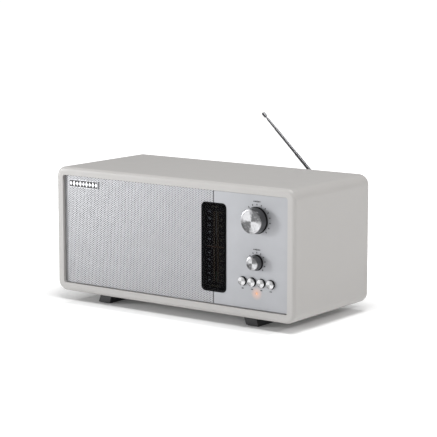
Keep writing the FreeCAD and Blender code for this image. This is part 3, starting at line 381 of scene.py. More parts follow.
@dataclass(frozen=True)
class Weave(Finish):
    """Woven cloth or twisted cord, seen from the front, with painted shade between its threads and
    a painted highlight on them.

    Attributes:
        thread: The distance between threads.
        valley_shade: The colour's strength between the threads, as painted shade.
        crown_highlight: Its strength on top of them, as a painted highlight.
    """

    thread: float = 0.0007
    valley_shade: float = 0.4
    crown_highlight: float = 1.5

    def ridges(self, paint: Paint) -> Value:
        """Warp and weft: 1 on the threads and 0 between them."""
        return paint.x.wave(self.thread) * paint.z.wave(self.thread)

    def relief(self, paint: Paint) -> object:
        """Warp and weft ridges."""
        return paint.bump(self.ridges(paint), self.grain)

    def tint(self, paint: Paint) -> object:
        """Painted shade between the threads and a painted highlight on their tops."""
        return paint.blend(self.ridges(paint), shade(self.colour, self.valley_shade),
                           shade(self.colour, self.crown_highlight))


@dataclass(frozen=True)
class CircuitBoard(Finish):
    """Green solder mask with copper tracks under it.

    Attributes:
        column_pitch: The distance between upright tracks.
        break_pitch: The distance between the breaks in them.
        row_pitch: The distance between level tracks.
        row_weight: How strongly the level tracks show.
        sheen: How much lighter the mask is over copper.
    """

    column_pitch: float = 0.004
    break_pitch: float = 0.011
    row_pitch: float = 0.005
    row_weight: float = 0.6
    sheen: float = 2.2

    def tint(self, paint: Paint) -> object:
        """Lighter bands where tracks run."""
        columns = paint.x.wave(self.column_pitch).above(0.75, 0.1)
        bands = columns * paint.y.wave(self.break_pitch).above(0.3, 0.1)
        rows = paint.z.wave(self.row_pitch).above(0.85, 0.1)
        mask = (bands + rows * self.row_weight).math("MINIMUM", 1.0)
        return paint.blend(mask, self.colour, shade(self.colour, self.sheen))


@dataclass(frozen=True)
class SmokedLens(Finish):
    """Dark see-through plastic with a gloss skin.

    Attributes:
        cover: How much of what lies behind it is hidden.
        cover_drift: How far that wanders.
        tint_drift: How far its colour wanders.
    """

    cover: float = 0.45
    cover_drift: float = 0.04
    tint_drift: float = 0.1

    def tint(self, paint: Paint) -> object:
        """A slow drift of a dark tint."""
        return paint.blend(paint.noise(25.0), shade(self.colour, 1 - self.tint_drift),
                           shade(self.colour, 1 + self.tint_drift))

    def extras(self, paint: Paint) -> None:
        """Part of what lies behind it shows."""
        haze = paint.noise(30.0) * self.cover_drift
        paint.feed("Alpha", haze + (self.cover - self.cover_drift / 2))


@dataclass(frozen=True)
class Backdrop(Finish):
    """A pale floor that glows brighter, to white, away from the object: painted light that lifts
    the object's shadow beyond its footprint.

    Attributes:
        wide: Half the width of the patch under the object, where the floor glows least.
        deep: Half that patch's depth.
        far: The distance from the patch at which the floor gives its full light.
        least: The share of that light that the patch gives.
        curve: The power of distance with which the light grows.
        strength: The strength of the full light.
    """

    wide: float = 0.14
    deep: float = 0.09
    far: float = 1.0
    least: float = 0.06
    curve: float = 0.35
    strength: float = 0.75

    def extras(self, paint: Paint) -> None:
        """Painted light: the floor's glow grows with distance from the object's footprint."""
        aside = (paint.x.math("ABSOLUTE") - self.wide).math("MAXIMUM", 0.0)
        behind = (paint.y.math("ABSOLUTE") - self.deep).math("MAXIMUM", 0.0)
        away = paint.radius(aside, behind) / self.far
        rise = away.math("POWER", self.curve).math("MINIMUM", 1.0)
        dim = (self.least, self.least, self.least)
        paint.feed("Emission Color", paint.blend(rise, dim, (1, 1, 1)))
        paint.feed("Emission Strength", self.strength)


@dataclass(frozen=True)
class Glow(Finish):
    """A lit surface.

    Attributes:
        strength: The strength of its light.
        uneven: The share of it that is missing in the darkest spots.
    """

    strength: float = 1.0
    uneven: float = 0.15

    def extras(self, paint: Paint) -> None:
        """Gives off its own light, a little uneven."""
        cloud = paint.noise(400.0)
        dim = shade(self.colour, 1 - self.uneven)
        paint.feed("Emission Color", paint.blend(cloud, dim, self.colour))
        paint.feed("Emission Strength", self.strength)


@dataclass(frozen=True)
class LitPlate(BrushedSheet):
    """The control plate, with the indicator lamp's light painted on it as a warm pool round the
    lamp.

    Attributes:
        lamp: The lamp's place across and up.
        glow: The colour of the lamp light painted on the plate beside the lamp.
        reach: How far the glow spreads.
        weight: The glow's weight beside the lamp.
    """

    lamp: tuple[float, float] = (0.0, 0.0)
    glow: Colour = (0.9, 0.5, 0.34)
    reach: float = 0.0075
    weight: float = 0.6

    def tint(self, paint: Paint) -> object:
        """The sheet's colour, with the lamp's light painted on it, warmer towards the lamp."""
        away = paint.radius(paint.x - self.lamp[0], paint.z - self.lamp[1])
        # Painted light: the indicator lamp's warm light on the plate, fading out over the reach.
        lamp_light_pool = (1.0 - away / self.reach).math("MAXIMUM", 0.0)
        return paint.blend(lamp_light_pool * self.weight, super().tint(paint), self.glow)


@dataclass(frozen=True)
class ShadePaintedBoard(Finish):
    """Fibre board, black in front as painted shade, so the gaps round the sheets in front of it
    look dark.

    Attributes:
        bare: The depth from which the board is bare.
        black: The colour of the painted shade.
    """

    bare: float = 0.0
    black: Colour = (0.008, 0.008, 0.008)

    def tint(self, paint: Paint) -> object:
        """Black painted shade in front, bare board behind."""
        return paint.blend(paint.y.above(self.bare), self.black, super().tint(paint))


LACQUER = Finish("warm_grey_lacquer", (0.436, 0.424, 0.412), 0.42, drift=0.015, drift_scale=14.0,
                 grain=0.000035, grain_scale=900.0, coat=0.1)
BLACK_PLASTIC = Finish("black_plastic", (0.01, 0.01, 0.011), 0.45, drift=0.15, grain=0.00003)
BACK_PLASTIC = Finish("back_panel_plastic", (0.045, 0.045, 0.046), 0.6, drift=0.1,
                      grain=0.00006, grain_scale=1300.0)
RUBBER = Finish("black_rubber", (0.03, 0.03, 0.031), 0.8, drift=0.2, grain=0.00003)
SILVER_GRILLE = BrushedSheet("silver_grille", (0.435, 0.437, 0.452), 0.38, 0.6, grain=0.000006)
CLOTH = Weave("speaker_cloth", (0.012, 0.012, 0.013), 0.9, grain=0.0001)
CHROME = Finish("aerial_chrome", (0.13, 0.13, 0.135), 0.16, 1.0, drift=0.05, grain=0.000003)
BADGE_CHROME = Finish("badge_chrome", (0.75, 0.75, 0.77), 0.25, 1.0, drift=0.04, grain=0.000004)
STEEL = Finish("zinc_plate", (0.5, 0.5, 0.49), 0.38, 1.0, drift=0.15, drift_scale=180.0)
DARK_STEEL = Finish("dark_zinc", (0.09, 0.09, 0.092), 0.35, 1.0, drift=0.2, drift_scale=300.0)
BRASS = Finish("turned_brass", (0.6, 0.42, 0.16), 0.3, 1.0, drift=0.1)
WHITE_PLASTIC = Finish("white_plastic", (0.7, 0.69, 0.65), 0.45)
FERRITE = Finish("ferrite", (0.03, 0.03, 0.032), 0.55, drift=0.3, drift_scale=500.0)
CONE_PAPER = Finish("cone_paper", (0.02, 0.02, 0.021), 0.85, drift=0.35, drift_scale=700.0,
                    grain=0.00008)
BOARD = CircuitBoard("circuit_board", (0.012, 0.075, 0.032), 0.35, coat=0.5)
CORD = Weave("dial_cord", (0.45, 0.4, 0.3), 0.9, grain=0.00005, thread=0.0006)
LENS = SmokedLens("smoked_lens", (0.003, 0.003, 0.0035), 0.07, grain=0.000001, specular=0.06)
SCALE_BLACK = Finish("scale_plate_black", (0.003, 0.003, 0.0035), 0.8, specular=0.05)
AMBER = Glow("pointer_amber", (0.07, 0.035, 0.015), 0.5, strength=0.1, specular=0.1)
LAMP = Glow("indicator_amber", (0.9, 0.5, 0.3), 0.3, strength=0.2)
LAMP_STRIP = Glow("lamp_strip_amber", (0.06, 0.035, 0.014), 0.6, strength=0.5, specular=0.1)
TRACK = Glow("track_amber", (0.04, 0.026, 0.012), 0.6, strength=0.6, specular=0.1)
PALE_PRINT = Glow("pale_print", (0.36, 0.4, 0.47), 0.6, strength=0.45)
WARM_PRINT = Glow("warm_print", (0.2, 0.18, 0.11), 0.6, strength=0.2)
INK = Finish("grey_ink", (0.03, 0.03, 0.032), 0.6, drift=0.2)
BADGE_GROUND = Finish("badge_ground", (0.01, 0.01, 0.011), 0.3)


# ---------------- modelling by hand


def only(*pieces: bpy.types.Object) -> None:
    """Selects these objects and nothing else, the first one active."""
    bpy.ops.object.select_all(action="DESELECT")
    for piece in pieces:
        piece.select_set(True)
    bpy.context.view_layer.objects.active = pieces[0] if pieces else None


@contextmanager
def editing(piece: bpy.types.Object) -> Iterator[bmesh.types.BMesh]:
    """Opens a piece in edit mode with nothing selected, and closes it again."""
    only(piece)
    bpy.ops.object.mode_set(mode="EDIT")
    bpy.ops.mesh.select_mode(type="FACE")
    bpy.ops.mesh.select_all(action="DESELECT")
    yield bmesh.from_edit_mesh(piece.data)
    bpy.ops.object.mode_set(mode="OBJECT")


def pick(piece: bpy.types.Object, wanted: Callable[[bmesh.types.BMFace], bool]) -> None:
    """Selects the faces that pass a test, in edit mode.

    Args:
        piece: The piece being edited.
        wanted: The test.
    """
    mesh = bmesh.from_edit_mesh(piece.data)
    for face in mesh.faces:
        face.select_set(wanted(face))
    mesh.select_flush_mode()
    bmesh.update_edit_mesh(piece.data)


def settle(piece: bpy.types.Object, name: str) -> bpy.types.Object:
    """Names a piece and puts its place into its mesh."""
    only(piece)
    bpy.ops.object.transform_apply(location=True, rotation=True, scale=True)
    piece.name = name
    piece.data.name = name
    return piece


def joined(pieces: Sequence[bpy.types.Object], name: str) -> bpy.types.Object:
    """Joins pieces into one."""
    only(*pieces)
    if len(pieces) > 1:
        bpy.ops.object.join()
    return settle(bpy.context.view_layer.objects.active, name)


def finish_with(piece: bpy.types.Object, kind: str, **settings: object) -> None:
    """Adds one modifier and applies it."""
    only(piece)
    modifier = piece.modifiers.new(kind.lower(), kind)
    for key, setting in settings.items():
        setattr(modifier, key, setting)
    bpy.ops.object.modifier_apply(modifier=modifier.name)


def weld(piece: bpy.types.Object, distance: float = 1e-6) -> None:
    """Merges doubled points and turns all faces outwards."""
    with editing(piece):
        bpy.ops.mesh.select_all(action="SELECT")
        bpy.ops.mesh.remove_doubles(threshold=distance)
        bpy.ops.mesh.normals_make_consistent(inside=False)


def coat(piece: bpy.types.Object, *finishes: Finish) -> None:
    """Gives a piece its material slots in order."""
    piece.data.materials.clear()
    for finish in finishes:
        piece.data.materials.append(finish.make())


def dress(finish: Finish, *nodes: str) -> None:
    """Gives CAD nodes a finish, keeping their meshes."""
    for name in nodes:
        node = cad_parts[name]
        for slot in node.material_slots:
            slot.link = "OBJECT"
            slot.material = finish.make()
        LOG.info("%s wears %s", name, finish.name)


class Slot(Enum):
    """Names of material slots for the modelled pieces; nothing in the script uses them."""

    GRILLE = "grille_metal"
    BADGE = "badge_metal"
    INK = "lens_plastic"
    SCALE = "scale_plastic"
    POINTER = "pointer_plastic"


def hand_over(piece: bpy.types.Object, replaced: str | None = None) -> None:
    """Fixes a finished piece to the cabinet and reports it.

    Args:
        piece: The piece, with its finish on it.
        replaced: The CAD node whose place it takes, if any.
    """
    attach(piece, "cabinet")
    if replaced is not None:
        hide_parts(replaced)
    LOG.info("%s: %d faces", piece.name, len(piece.data.polygons))


def centre_of(node: str) -> Vector:
    """The middle of a CAD node's box."""
    low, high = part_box(node)
    return (low + high) / 2


def slab(low: Sequence[float], high: Sequence[float]) -> bpy.types.Object:
    """A block between two corners, with its place in its mesh."""
    middle = (Vector(low) + Vector(high)) / 2
    size = Vector(high) - Vector(low)
    bpy.ops.mesh.primitive_cube_add(size=1.0, location=middle, scale=size)
    return settle(bpy.context.active_object, "slab")


# ---------------- front


@dataclass
class PerforatedGrille:
    """The perforated sheet over the loudspeakers, with real holes in upright columns.

    Attributes:
        pitch: Hole to hole up a column.
        land: Metal left between two neighbouring holes.
        seam: The dark gap left beside the control plate.
        join: Points nearer than this are merged.
        slip: The gap round the dial lens.
        corner: The radius of that opening's corners.
        spare: How far its cutter stands out of the sheet.
    """

    pitch: float = 2.4 * MM
    land: float = 1.1 * MM
    seam: float = 0.9 * MM
    join: float = 0.05 * MM
    slip: float = 0.15 * MM
    corner: float = 5.6 * MM
    spare: float = 10 * MM

    def build(self) -> None:
        """Models one six-sided cell, repeats it and trims it to the sheet."""
        low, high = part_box("speaker_grille")
        column = self.pitch * math.sqrt(3)
        across = math.ceil((high.x - low.x) / column) + 2
        up = math.ceil((high.z - low.z) / self.pitch) + 2
        cells = []
        for shift_x, shift_z in ((0.0, 0.0), (column / 2, self.pitch / 2)):
            spot = (high.x - across * column + shift_x, low.y, low.z - self.pitch / 2 + shift_z)
            bpy.ops.mesh.primitive_circle_add(vertices=6, radius=self.pitch / math.sqrt(3),
                                              fill_type="NGON", location=spot,
                                              rotation=(math.pi / 2, math.pi / 6, 0))
            cell = settle(bpy.context.active_object, "cell")
            with editing(cell):
                bpy.ops.mesh.select_all(action="SELECT")
                bpy.ops.mesh.inset(thickness=self.land / 2)
                bpy.ops.mesh.delete(type="FACE")
            cells.append(cell)
        sheet = joined(cells, "perforated_grille")
        finish_with(sheet, "ARRAY", count=across + 1, use_relative_offset=False,
                    use_constant_offset=True, constant_offset_displace=(column, 0, 0))
        finish_with(sheet, "ARRAY", count=up, use_relative_offset=False,
                    use_constant_offset=True, constant_offset_displace=(0, 0, self.pitch))
        weld(sheet, self.join)
        planes = (((low.x, 0, 0), (-1, 0, 0)), ((high.x - self.seam, 0, 0), (1, 0, 0)),
                  ((0, 0, low.z), (0, 0, -1)), ((0, 0, high.z), (0, 0, 1)))
        with editing(sheet):
            for spot, normal in planes:
                bpy.ops.mesh.select_all(action="SELECT")
                bpy.ops.mesh.bisect(plane_co=spot, plane_no=normal, clear_outer=True)
            bpy.ops.mesh.select_all(action="SELECT")
            bpy.ops.mesh.normals_make_consistent(inside=False)
        if sheet.data.polygons[0].normal.y > 0:
            sheet.data.flip_normals()
        finish_with(sheet, "SOLIDIFY", thickness=high.y - low.y, offset=-1.0)
        self.cut_window(sheet)
        coat(sheet, SILVER_GRILLE)
        hand_over(sheet, "speaker_grille")

    def cut_window(self, sheet: bpy.types.Object) -> None:
        """Cuts the dial window's rounded outline out of the sheet."""
        low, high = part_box("dial_lens")
        tool = slab((low.x - self.slip, low.y - self.spare, low.z - self.slip),
                    (high.x + self.slip, high.y + self.spare, high.z + self.slip))
        with editing(tool) as mesh:
            bpy.ops.mesh.select_mode(type="EDGE")
            for edge in mesh.edges:
                run = edge.verts[0].co - edge.verts[1].co
                edge.select_set(abs(run.y) > self.spare)
            bmesh.update_edit_mesh(tool.data)
            bpy.ops.mesh.bevel(offset=self.corner, segments=10, affect="EDGES")
        finish_with(sheet, "BOOLEAN", operation="DIFFERENCE", object=tool, solver="EXACT")
        bpy.data.objects.remove(tool)


@dataclass
class Badge:
    """A plain bar badge: a thin rim and a row of bright pips on a dark ground.

    Attributes:
        pips: How many pips stand in the row.
        rim: The width of the rim.
        sink: The depth of the ground below the rim.
        pip_edge: The width of a pip's bevel.
        pip_half: A pip's half width as a share of its place in the row, and its half height as a
            share of the ground's height.
        pip_seat: How deep a pip's middle lies, as a share of the ground's depth.
        swell: How much taller every second pip is.
    """

    pips: int = 9
    rim: float = 0.35 * MM
    sink: float = 0.45 * MM
    pip_edge: float = 0.12 * MM
    pip_half: tuple[float, float] = (0.44, 0.36)
    pip_seat: float = 0.6
    swell: float = 0.3

    def build(self) -> None:
        """Models the bar by inset and extrude, then sets the pips on it."""
        low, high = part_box("badge")
        bar = slab(low, high)
        front = low.y
        with editing(bar):
            pick(bar, lambda face: face.normal.y < FORWARD)
            bpy.ops.mesh.inset(thickness=self.rim)
            bpy.ops.mesh.extrude_region_move(TRANSFORM_OT_translate={"value": (0, self.sink, 0)})
        coat(bar, BADGE_CHROME, BADGE_GROUND)
        for face in bar.data.polygons:
            sunk = face.normal.y < FORWARD and face.center.y > front + self.sink / 2
            face.material_index = int(sunk)
        parts = [bar]
        length = high.x - low.x - 2 * self.rim
        height = high.z - low.z - 2 * self.rim
        wide, tall = self.pip_half
        for index in range(self.pips):
            spot = (low.x + self.rim + length * (index + 0.5) / self.pips,
                    front + self.sink * self.pip_seat, (low.z + high.z) / 2)
            bpy.ops.mesh.primitive_cylinder_add(
                vertices=4, radius=1.0, depth=self.sink, location=spot,
                rotation=(math.pi / 2, 0, 0),
                scale=(length / self.pips * wide, height * tall * (1 + index % 2 * self.swell),
                       1.0))
            pip = settle(bpy.context.active_object, "pip")
            finish_with(pip, "BEVEL", width=self.pip_edge, segments=2)
            coat(pip, BADGE_CHROME)
            parts.append(pip)
        badge = joined(parts, "bar_badge")
        hand_over(badge, "badge")


@dataclass
class ControlMarks:
    """The ink on the control plate: ticks round the knobs and signs for the buttons.

    Attributes:
        thick: The ink's thickness.
        rings: Each knob with its number of ticks and their distance from it.
        sweep: The angle that each ring of ticks spans.
        tick_size: A tick's width and height.
        titles: Each knob with the height of the bars above it.
        title_bars: The heights of those bars.
        title_pitch: Bar to bar.
        title_width: A bar's width.
        sign_drop: From a button's lower edge down to its sign.
        sign_widths: The widths of a single sign and of each half of a double one.
        sign_height: A sign's height.
        sign_pitch: Half to half of a double sign.
    """

    thick: float = 0.04 * MM
    rings: tuple[tuple[str, int, float], ...] = (("tuning_knob", 15, 2.4 * MM),
                                                 ("volume_knob", 11, 2.1 * MM))
    sweep: float = 270.0
    tick_size: tuple[float, float] = (1.1 * MM, 1.9 * MM)
    titles: tuple[tuple[str, float], ...] = (("tuning_knob", 5.6 * MM), ("volume_knob", 5.2 * MM))
    title_bars: tuple[float, ...] = (1.2 * MM, 1.5 * MM, 1.9 * MM, 1.5 * MM, 1.2 * MM)
    title_pitch: float = 1.9 * MM
    title_width: float = 1.4 * MM
    sign_drop: float = 3.0 * MM
    sign_widths: tuple[float, float] = (2.6 * MM, 1.2 * MM)
    sign_height: float = 1.2 * MM
    sign_pitch: float = 1.6 * MM

    def tick(self, across: float, up: float, wide: float, tall: float,
             turn: float = 0.0) -> bpy.types.Object:
        """One short bar of ink, raised off the plate."""
        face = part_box("control_plate")[0].y
        bpy.ops.mesh.primitive_plane_add(size=1.0, location=(across, face, up),
                                         rotation=(math.pi / 2, turn, 0))
        bar = bpy.context.active_object
        bar.scale = (wide, tall, 1.0)
        bar = settle(bar, "tick")
        with editing(bar):
            bpy.ops.mesh.select_all(action="SELECT")
            bpy.ops.mesh.extrude_region_move(TRANSFORM_OT_translate={"value": (0, -self.thick, 0)})
        weld(bar)
        return bar

    def ring(self, node: str, ticks: int, out: float) -> list[bpy.types.Object]:
        """Ticks round a knob, symmetrical about straight up."""
        centre = centre_of(node)
        low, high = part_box(node)
        away = (high.x - low.x) / 2 + out
        made = []
        for index in range(ticks):
            turn = math.radians(self.sweep * (index / (ticks - 1) - 0.5))
            across, up = centre.x + away * math.sin(turn), centre.z + away * math.cos(turn)
            made.append(self.tick(across, up, *self.tick_size, turn))
        return made

    def title(self, node: str, lift: float) -> list[bpy.types.Object]:
        """A row of short bars above a knob, in place of a word."""
        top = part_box(node)[1].z + lift
        centre, middle = centre_of(node).x, len(self.title_bars) // 2
        return [self.tick(centre + (index - middle) * self.title_pitch, top, self.title_width, tall)
                for index, tall in enumerate(self.title_bars)]

    def sign(self, node: str, double: bool) -> list[bpy.types.Object]:
        """One bar, or two short ones, under a button."""
        low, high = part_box(node)
        spot = (low.x + high.x) / 2
        return [self.tick(spot + (step - double / 2) * self.sign_pitch, low.z - self.sign_drop,
                          self.sign_widths[double], self.sign_height)
                for step in range(1 + double)]

    def build(self) -> None:
        """Lays out all the ink."""
        parts = []
        for ring in self.rings:
            parts += self.ring(*ring)
        for title in self.titles:
            parts += self.title(*title)
        for index, node in enumerate(BUTTONS):
            parts += self.sign(node, index % 2 == 1)
        ink = joined(parts, "control_marks")
        coat(ink, INK)
        hand_over(ink)


# ---------------- dial


@dataclass
class DialPrint:
    """Numbers on the scale plate, and the lit strips beside the slot that the pointer runs in.

    Attributes:
        left_numbers: The left column, from the top.
        right_numbers: The right column, from the top.
        left: The left column's place across, from the lens's middle.
        right: The right column's place across, from there too.
        reach: From the dial's middle to the outermost numbers.
        bands: What stands above and below the columns.
        band_reach: How far above and below the dial's middle that is.
        band_shift: How far to one side.
        lift: The print's height off the plate.
        height: The height of the print.
        track_near: From the middle of the slot to each lit strip.
        track_far: From the middle of the slot to the strip's far edge.
        track_reach: Half the strips' length.
        track_thick: How far the strips stand off the plate.
        track_gap: How far their backs are off the plate.
        track_edge: The width of their bevel.
    """

    left_numbers: tuple[str, ...] = ("108", "106", "104", "102", "100", "98", "96", "94", "92",
                                     "90", "88")
    right_numbers: tuple[str, ...] = ("160", "140", "120", "110", "100", "90", "80", "70", "65",
                                      "60", "53")
    left: float = -9.2 * MM
    right: float = 6.6 * MM
    reach: float = 37.7 * MM
    bands: tuple[str, str] = ("FM  AM", "MHz kHz")
    band_reach: float = 43.5 * MM
    band_shift: float = -1.5 * MM
    lift: float = 0.05 * MM
    height: float = 2.6 * MM
    track_near: float = 1.55 * MM
    track_far: float = 3.3 * MM
    track_reach: float = 38.5 * MM
    track_thick: float = 0.25 * MM
    track_gap: float = 0.02 * MM
    track_edge: float = 0.1 * MM

    def number(self, words: str, across: float, up: float) -> bpy.types.Object:
        """One printed number, made a mesh."""
        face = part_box("dial_scale_plate")[0].y
        bpy.ops.object.text_add()
        text = bpy.context.active_object
        text.data.body = words
        text.data.align_x = "CENTER"
        text.data.align_y = "CENTER"
        text.data.size = self.height
        text.data.resolution_u = 3
        only(text)
        bpy.ops.object.convert(target="MESH")
        text = bpy.context.active_object
        text.rotation_euler = (math.pi / 2, 0, 0)
        text.location = (across, face - self.lift, up)
        return settle(text, "number")

    def column(self, numbers: Sequence[str], across: float,
               middle: float) -> list[bpy.types.Object]:
        """A column of evenly spaced numbers."""
        step = 2 * self.reach / (len(numbers) - 1)
        return [self.number(words, across, middle + self.reach - step * index)
                for index, words in enumerate(numbers)]

    def band_names(self, centre: float, middle: float) -> list[bpy.types.Object]:
        """The names of the bands and of their units, above and below the columns."""
        return [self.number(words, centre + self.band_shift, middle + way * self.band_reach)
                for words, way in zip(self.bands, (1, -1))]

    def strips(self, centre: float, middle: float) -> list[bpy.types.Object]:
        """The lit strips on both sides of the pointer's slot."""
        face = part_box("dial_scale_plate")[0].y
        made = []
        for side in (-1, 1):
            ends = sorted((side * self.track_near, side * self.track_far))
            made.append(slab((centre + ends[0], face - self.track_thick, middle - self.track_reach),
                             (centre + ends[1], face - self.track_gap,
                              middle + self.track_reach)))
        return made

    def build(self) -> None:
        """Prints both columns and the band names, and lights the track."""
        centre = centre_of("dial_lens").x
        middle = centre_of("pointer_rail").z
        pages = (("left_numbers", PALE_PRINT,
                  self.column(self.left_numbers, centre + self.left, middle)),
                 ("right_numbers", WARM_PRINT,
                  self.column(self.right_numbers, centre + self.right, middle)),
                 ("band_names", WARM_PRINT, self.band_names(centre, middle)))
        for name, finish, pieces in pages:
            page = joined(pieces, name)
            coat(page, finish)
            hand_over(page)
        track = joined(self.strips(centre, middle), "lit_track")
        finish_with(track, "BEVEL", width=self.track_edge, segments=2)
        coat(track, TRACK)
        hand_over(track)


# ---------------- studio


@dataclass(frozen=True)
class Lamp:
    """A square soft lamp.

    Attributes:
        name: Its name.
        spot: Its place.
        size: The length of its side.
        watts: Its power.
        tint: Its colour.
    """

    name: str
    spot: Colour
    size: float
    watts: float
    tint: Colour = (1.0, 1.0, 1.0)

    def build(self, target: Vector) -> None:
        """Hangs the lamp, facing a point."""
        bpy.ops.object.light_add(type="AREA", location=self.spot)
        lamp = bpy.context.active_object
        lamp.name = self.name
        lamp.data.shape = "SQUARE"
        lamp.data.size = self.size
        lamp.data.energy = self.watts
        lamp.data.color = self.tint
        away = target - Vector(self.spot)
        lamp.rotation_euler = away.to_track_quat("-Z", "Y").to_euler()


@dataclass
class Studio:
    """Camera, floor and soft light.

    Attributes:
        azimuth: The camera's angle round to the radio's right.
        elevation: Its angle above the horizon.
        distance: Its distance from the point that it looks at.
        lens: Its focal length, in millimetres.
        aim: The point that it looks at.
        floor_size: The floor's width.
        sky: The strength of the light from all round.
        target: The point that the lamps face.
        lamps: The soft lamps.
    """

    azimuth: float = 36.23
    elevation: float = 9.08
    distance: float = 1.95
    lens: float = 143.55
    aim: Vector = field(default_factory=lambda: Vector((0.0211, -0.0144, 0.1032)))
    floor_size: float = 60.0
    sky: float = 0.33
    target: Vector = field(default_factory=lambda: Vector((0, 0, 0.08)))
    lamps: tuple[Lamp, ...] = (
        Lamp("key", (-1.95, -1.5, 0.45), 0.55, 33.0, (0.98, 0.99, 1.0)),
        Lamp("fill", (2.2, 0.8, 1.1), 1.4, 3.0, (1.0, 0.92, 0.84)),
        Lamp("top", (0.45, -0.25, 2.1), 1.0, 36.0),
    )

    def camera(self) -> None:
        """Places the camera."""
        turn, lift = math.radians(self.azimuth), math.radians(self.elevation)
        back = Vector((math.sin(turn) * math.cos(lift), -math.cos(turn) * math.cos(lift),
                       math.sin(lift)))
        bpy.ops.object.camera_add(location=self.aim + back * self.distance)
        camera = bpy.context.active_object
        camera.rotation_euler = (-back).to_track_quat("-Z", "Y").to_euler()
        camera.data.lens = self.lens
        camera.data.sensor_width = 36.0
        camera.data.clip_end = 50.0
        bpy.context.scene.camera = camera

    def floor(self) -> None:
        """Lays the pale floor, whose glow is painted light."""
        bpy.ops.mesh.primitive_plane_add(size=self.floor_size, location=(0, 0, 0))
        floor = settle(bpy.context.active_object, "floor")
        coat(floor, Backdrop("studio_floor", (0.82, 0.82, 0.82), 0.9, drift=0.003, grain=0.0))

    def build(self) -> None:
        """Sets everything up."""
        self.camera()
        self.floor()
        world = bpy.data.worlds.new("studio")
        bpy.context.scene.world = world
        world.use_nodes = True
        ground = world.node_tree.nodes["Background"]
        ground.inputs["Color"].default_value = (1, 1, 1, 1)
        ground.inputs["Strength"].default_value = self.sky
        for lamp in self.lamps:
            lamp.build(self.target)
        bpy.context.scene.view_settings.view_transform = "Standard"


# ---------------- sub-assemblies


class Side(Enum):
    """The radio's two sides, as its user sees them."""

    LEFT = "left"
    RIGHT = "right"


class Row(Enum):
    """The two rows of feet."""

    FRONT = "front"
    BACK = "back"


@dataclass
class SubAssembly:
    """CAD nodes that are dressed together, with the pieces modelled on them."""

    def dress(self) -> None:
        """Gives the group's CAD nodes their finishes."""
        raise NotImplementedError

    def build(self) -> None:
        """Models what the group adds; most groups add nothing."""

    def make(self) -> None:
        """Dresses the group, builds its pieces and reports it."""
        self.dress()
        self.build()
        LOG.info("%s is ready", type(self).__name__)


@dataclass
class Cabinet(SubAssembly):
    """The lacquered sleeve with its feet, baffle, back panel and sockets.

    Attributes:
        sleeve: The sleeve's finish.
        moulding: The finish of the feet and the sockets.
        back: The back panel's finish.
        fixings: The finish of the screws.
        shade_paint_depth: How far back the baffle is black with painted shade.
    """

    sleeve: Finish = LACQUER
    moulding: Finish = BLACK_PLASTIC
    back: Finish = BACK_PLASTIC
    fixings: Finish = DARK_STEEL
    shade_paint_depth: float = 5.2 * MM

    def dress(self) -> None:
        """Dresses the sleeve and all that is fixed to it."""
        dress(self.sleeve, "cabinet_shell")
        dress(self.moulding, *(f"{row.value}_{side.value}_foot" for row in Row for side in Side))
        dress(self.moulding, "aux_jack", "headphone_jack", "dc_jack")
        dress(self.back, "back_panel")
        dress(self.fixings, "foot_screws", "baffle_screws", "back_screws")
        dress(RUBBER, "foot_pads")
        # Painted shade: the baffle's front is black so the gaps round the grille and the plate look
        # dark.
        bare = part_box("front_baffle")[0].y + self.shade_paint_depth
        dress(ShadePaintedBoard("baffle_board", (0.33, 0.24, 0.16), 0.85, drift=0.25,
                             drift_scale=900.0, grain=0.00006, bare=bare), "front_baffle")


@dataclass
class FrontPanel(SubAssembly):
    """The grille and the control plate, with the badge, the lamp and the ink."""

    grille: PerforatedGrille = field(default_factory=PerforatedGrille)
    badge: Badge = field(default_factory=Badge)
    marks: ControlMarks = field(default_factory=ControlMarks)

    def dress(self) -> None:
        """Dresses the plate, with the lamp's light painted on it, and the cloth."""
        lamp = centre_of("indicator_lens")
        dress(LitPlate("silver_plate", (0.365, 0.37, 0.387), 0.4, 0.4, grain=0.000006,
                       lamp=(lamp.x, lamp.z)), "control_plate")
        dress(CLOTH, "grille_cloth")
        dress(LAMP, "indicator_lens")

    def build(self) -> None:
        """Models the sheet with its holes, the badge and the ink."""
        self.grille.build()
        self.badge.build()
        self.marks.build()


@dataclass
class Loudspeakers(SubAssembly):
    """Two loudspeakers behind the grille."""

    def dress(self) -> None:
        """Dresses each side's basket, magnet, surround and cone."""
        for side in Side:
            dress(STEEL, f"{side.value}_speaker_basket")
            dress(FERRITE, f"{side.value}_speaker_magnet")
            dress(RUBBER, f"{side.value}_speaker_surround")
            dress(CONE_PAPER, f"{side.value}_speaker_cone")
        dress(DARK_STEEL, "speaker_screws")


@dataclass
class TuningDial(SubAssembly):
    """The dial behind its lens, and the cord, drum and idlers that move its pointer."""

    printing: DialPrint = field(default_factory=DialPrint)

    def dress(self) -> None:
        """Dresses the dial from the lens back to the capacitor."""
        dress(LENS, "dial_lens")
        dress(SCALE_BLACK, "dial_scale_plate")
        dress(AMBER, "dial_pointer")
        dress(STEEL, "pointer_rail", "dial_chassis")
        dress(WHITE_PLASTIC, "tuning_capacitor", "dial_drum", "upper_idler", "lower_idler")
        dress(CORD, "dial_cord")
        dress(LAMP_STRIP, "dial_backlight")

    def build(self) -> None:
        """Prints the scale and lights the track."""
        self.printing.build()


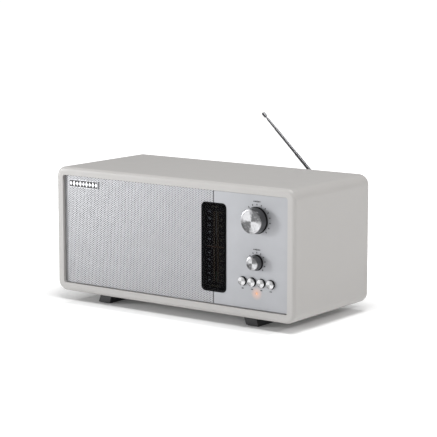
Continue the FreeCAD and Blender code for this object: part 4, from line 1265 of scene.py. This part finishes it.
@dataclass
class Controls(SubAssembly):
    """Two knobs and four buttons of spun metal, with a painted reflection on their faces and
    painted shade on their sides and bases.

    Attributes:
        knobs: Each knob with the height of the black painted shade at its base.
        buttons: The buttons, from left to right.
        knob_edge: How far a knob's bright face reaches back, before its side's painted shade.
        button_edge: How far a button's bright face reaches back, before its side's painted shade.
        button_shade_band: The depth at which a button turns black, as painted shade for the gap
            round it.
        knob_colour: The knobs' bright metal, the brightest of their painted reflection.
        button_colour: The buttons' bright metal, the brightest of their painted reflection.
        button_dull: How bright the buttons' quarters of weaker painted reflection are.
    """

    knobs: tuple[tuple[str, float], ...] = (("tuning_knob", 2.3 * MM), ("volume_knob", 2.1 * MM))
    buttons: tuple[str, ...] = BUTTONS
    knob_edge: float = 0.9 * MM
    button_edge: float = 0.3 * MM
    button_shade_band: float = 0.7 * MM
    knob_colour: Colour = (0.48, 0.48, 0.49)
    button_colour: Colour = (0.7, 0.7, 0.71)
    button_dull: float = 0.45

    def dress(self) -> None:
        """Dresses knobs, buttons and the shafts behind them; knobs and buttons get painted
        reflection and painted shade.
        """
        for node, shade_band in self.knobs:
            centre, (low, high) = centre_of(node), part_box(node)
            dress(SpunMetal("spun_" + node, self.knob_colour, 0.3, 1.0, grain=0.00001,
                            specular=0.0, centre=(centre.x, centre.z),
                            rim=low.y + self.knob_edge, shade_band=high.y - shade_band), node)
        for node in self.buttons:
            centre, front = centre_of(node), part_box(node)[0].y
            dress(SpunMetal("spun_" + node, self.button_colour, 0.25, 1.0, grain=0.000006,
                            specular=0.0, centre=(centre.x, centre.z), dull=self.button_dull,
                            rim=front + self.button_edge, shade_band=front + self.button_shade_band), node)
        dress(STEEL, "volume_control", "tuning_shaft", "volume_shaft")
        dress(BRASS, "tuning_bushing")


@dataclass
class Electronics(SubAssembly):
    """The boards and the ferrite aerial."""

    def dress(self) -> None:
        """Dresses the boards, the rod and its clips."""
        dress(BOARD, "main_board", "control_board")
        dress(FERRITE, "ferrite_aerial")
        dress(WHITE_PLASTIC, "ferrite_clips")


@dataclass
class RodAerial(SubAssembly):
    """The telescopic aerial on the back."""

    tubes: tuple[str, ...] = ("antenna_base_tube", "antenna_middle_tube", "antenna_upper_tube",
                              "antenna_tip_rod")

    def dress(self) -> None:
        """Dresses the bracket, the swivel and the tubes."""
        dress(BLACK_PLASTIC, "antenna_bracket")
        dress(CHROME, "antenna_swivel", "antenna_hinge_pin", *self.tubes)


def main() -> None:
    """Makes each sub-assembly in turn, then the studio."""
    logging.basicConfig(level=logging.INFO, format="%(message)s")
    groups = (Cabinet(), FrontPanel(), Loudspeakers(), TuningDial(), Controls(), Electronics(),
              RodAerial())
    for group in groups:
        group.make()
    Studio().build()


if __name__ == "__main__":
    main()
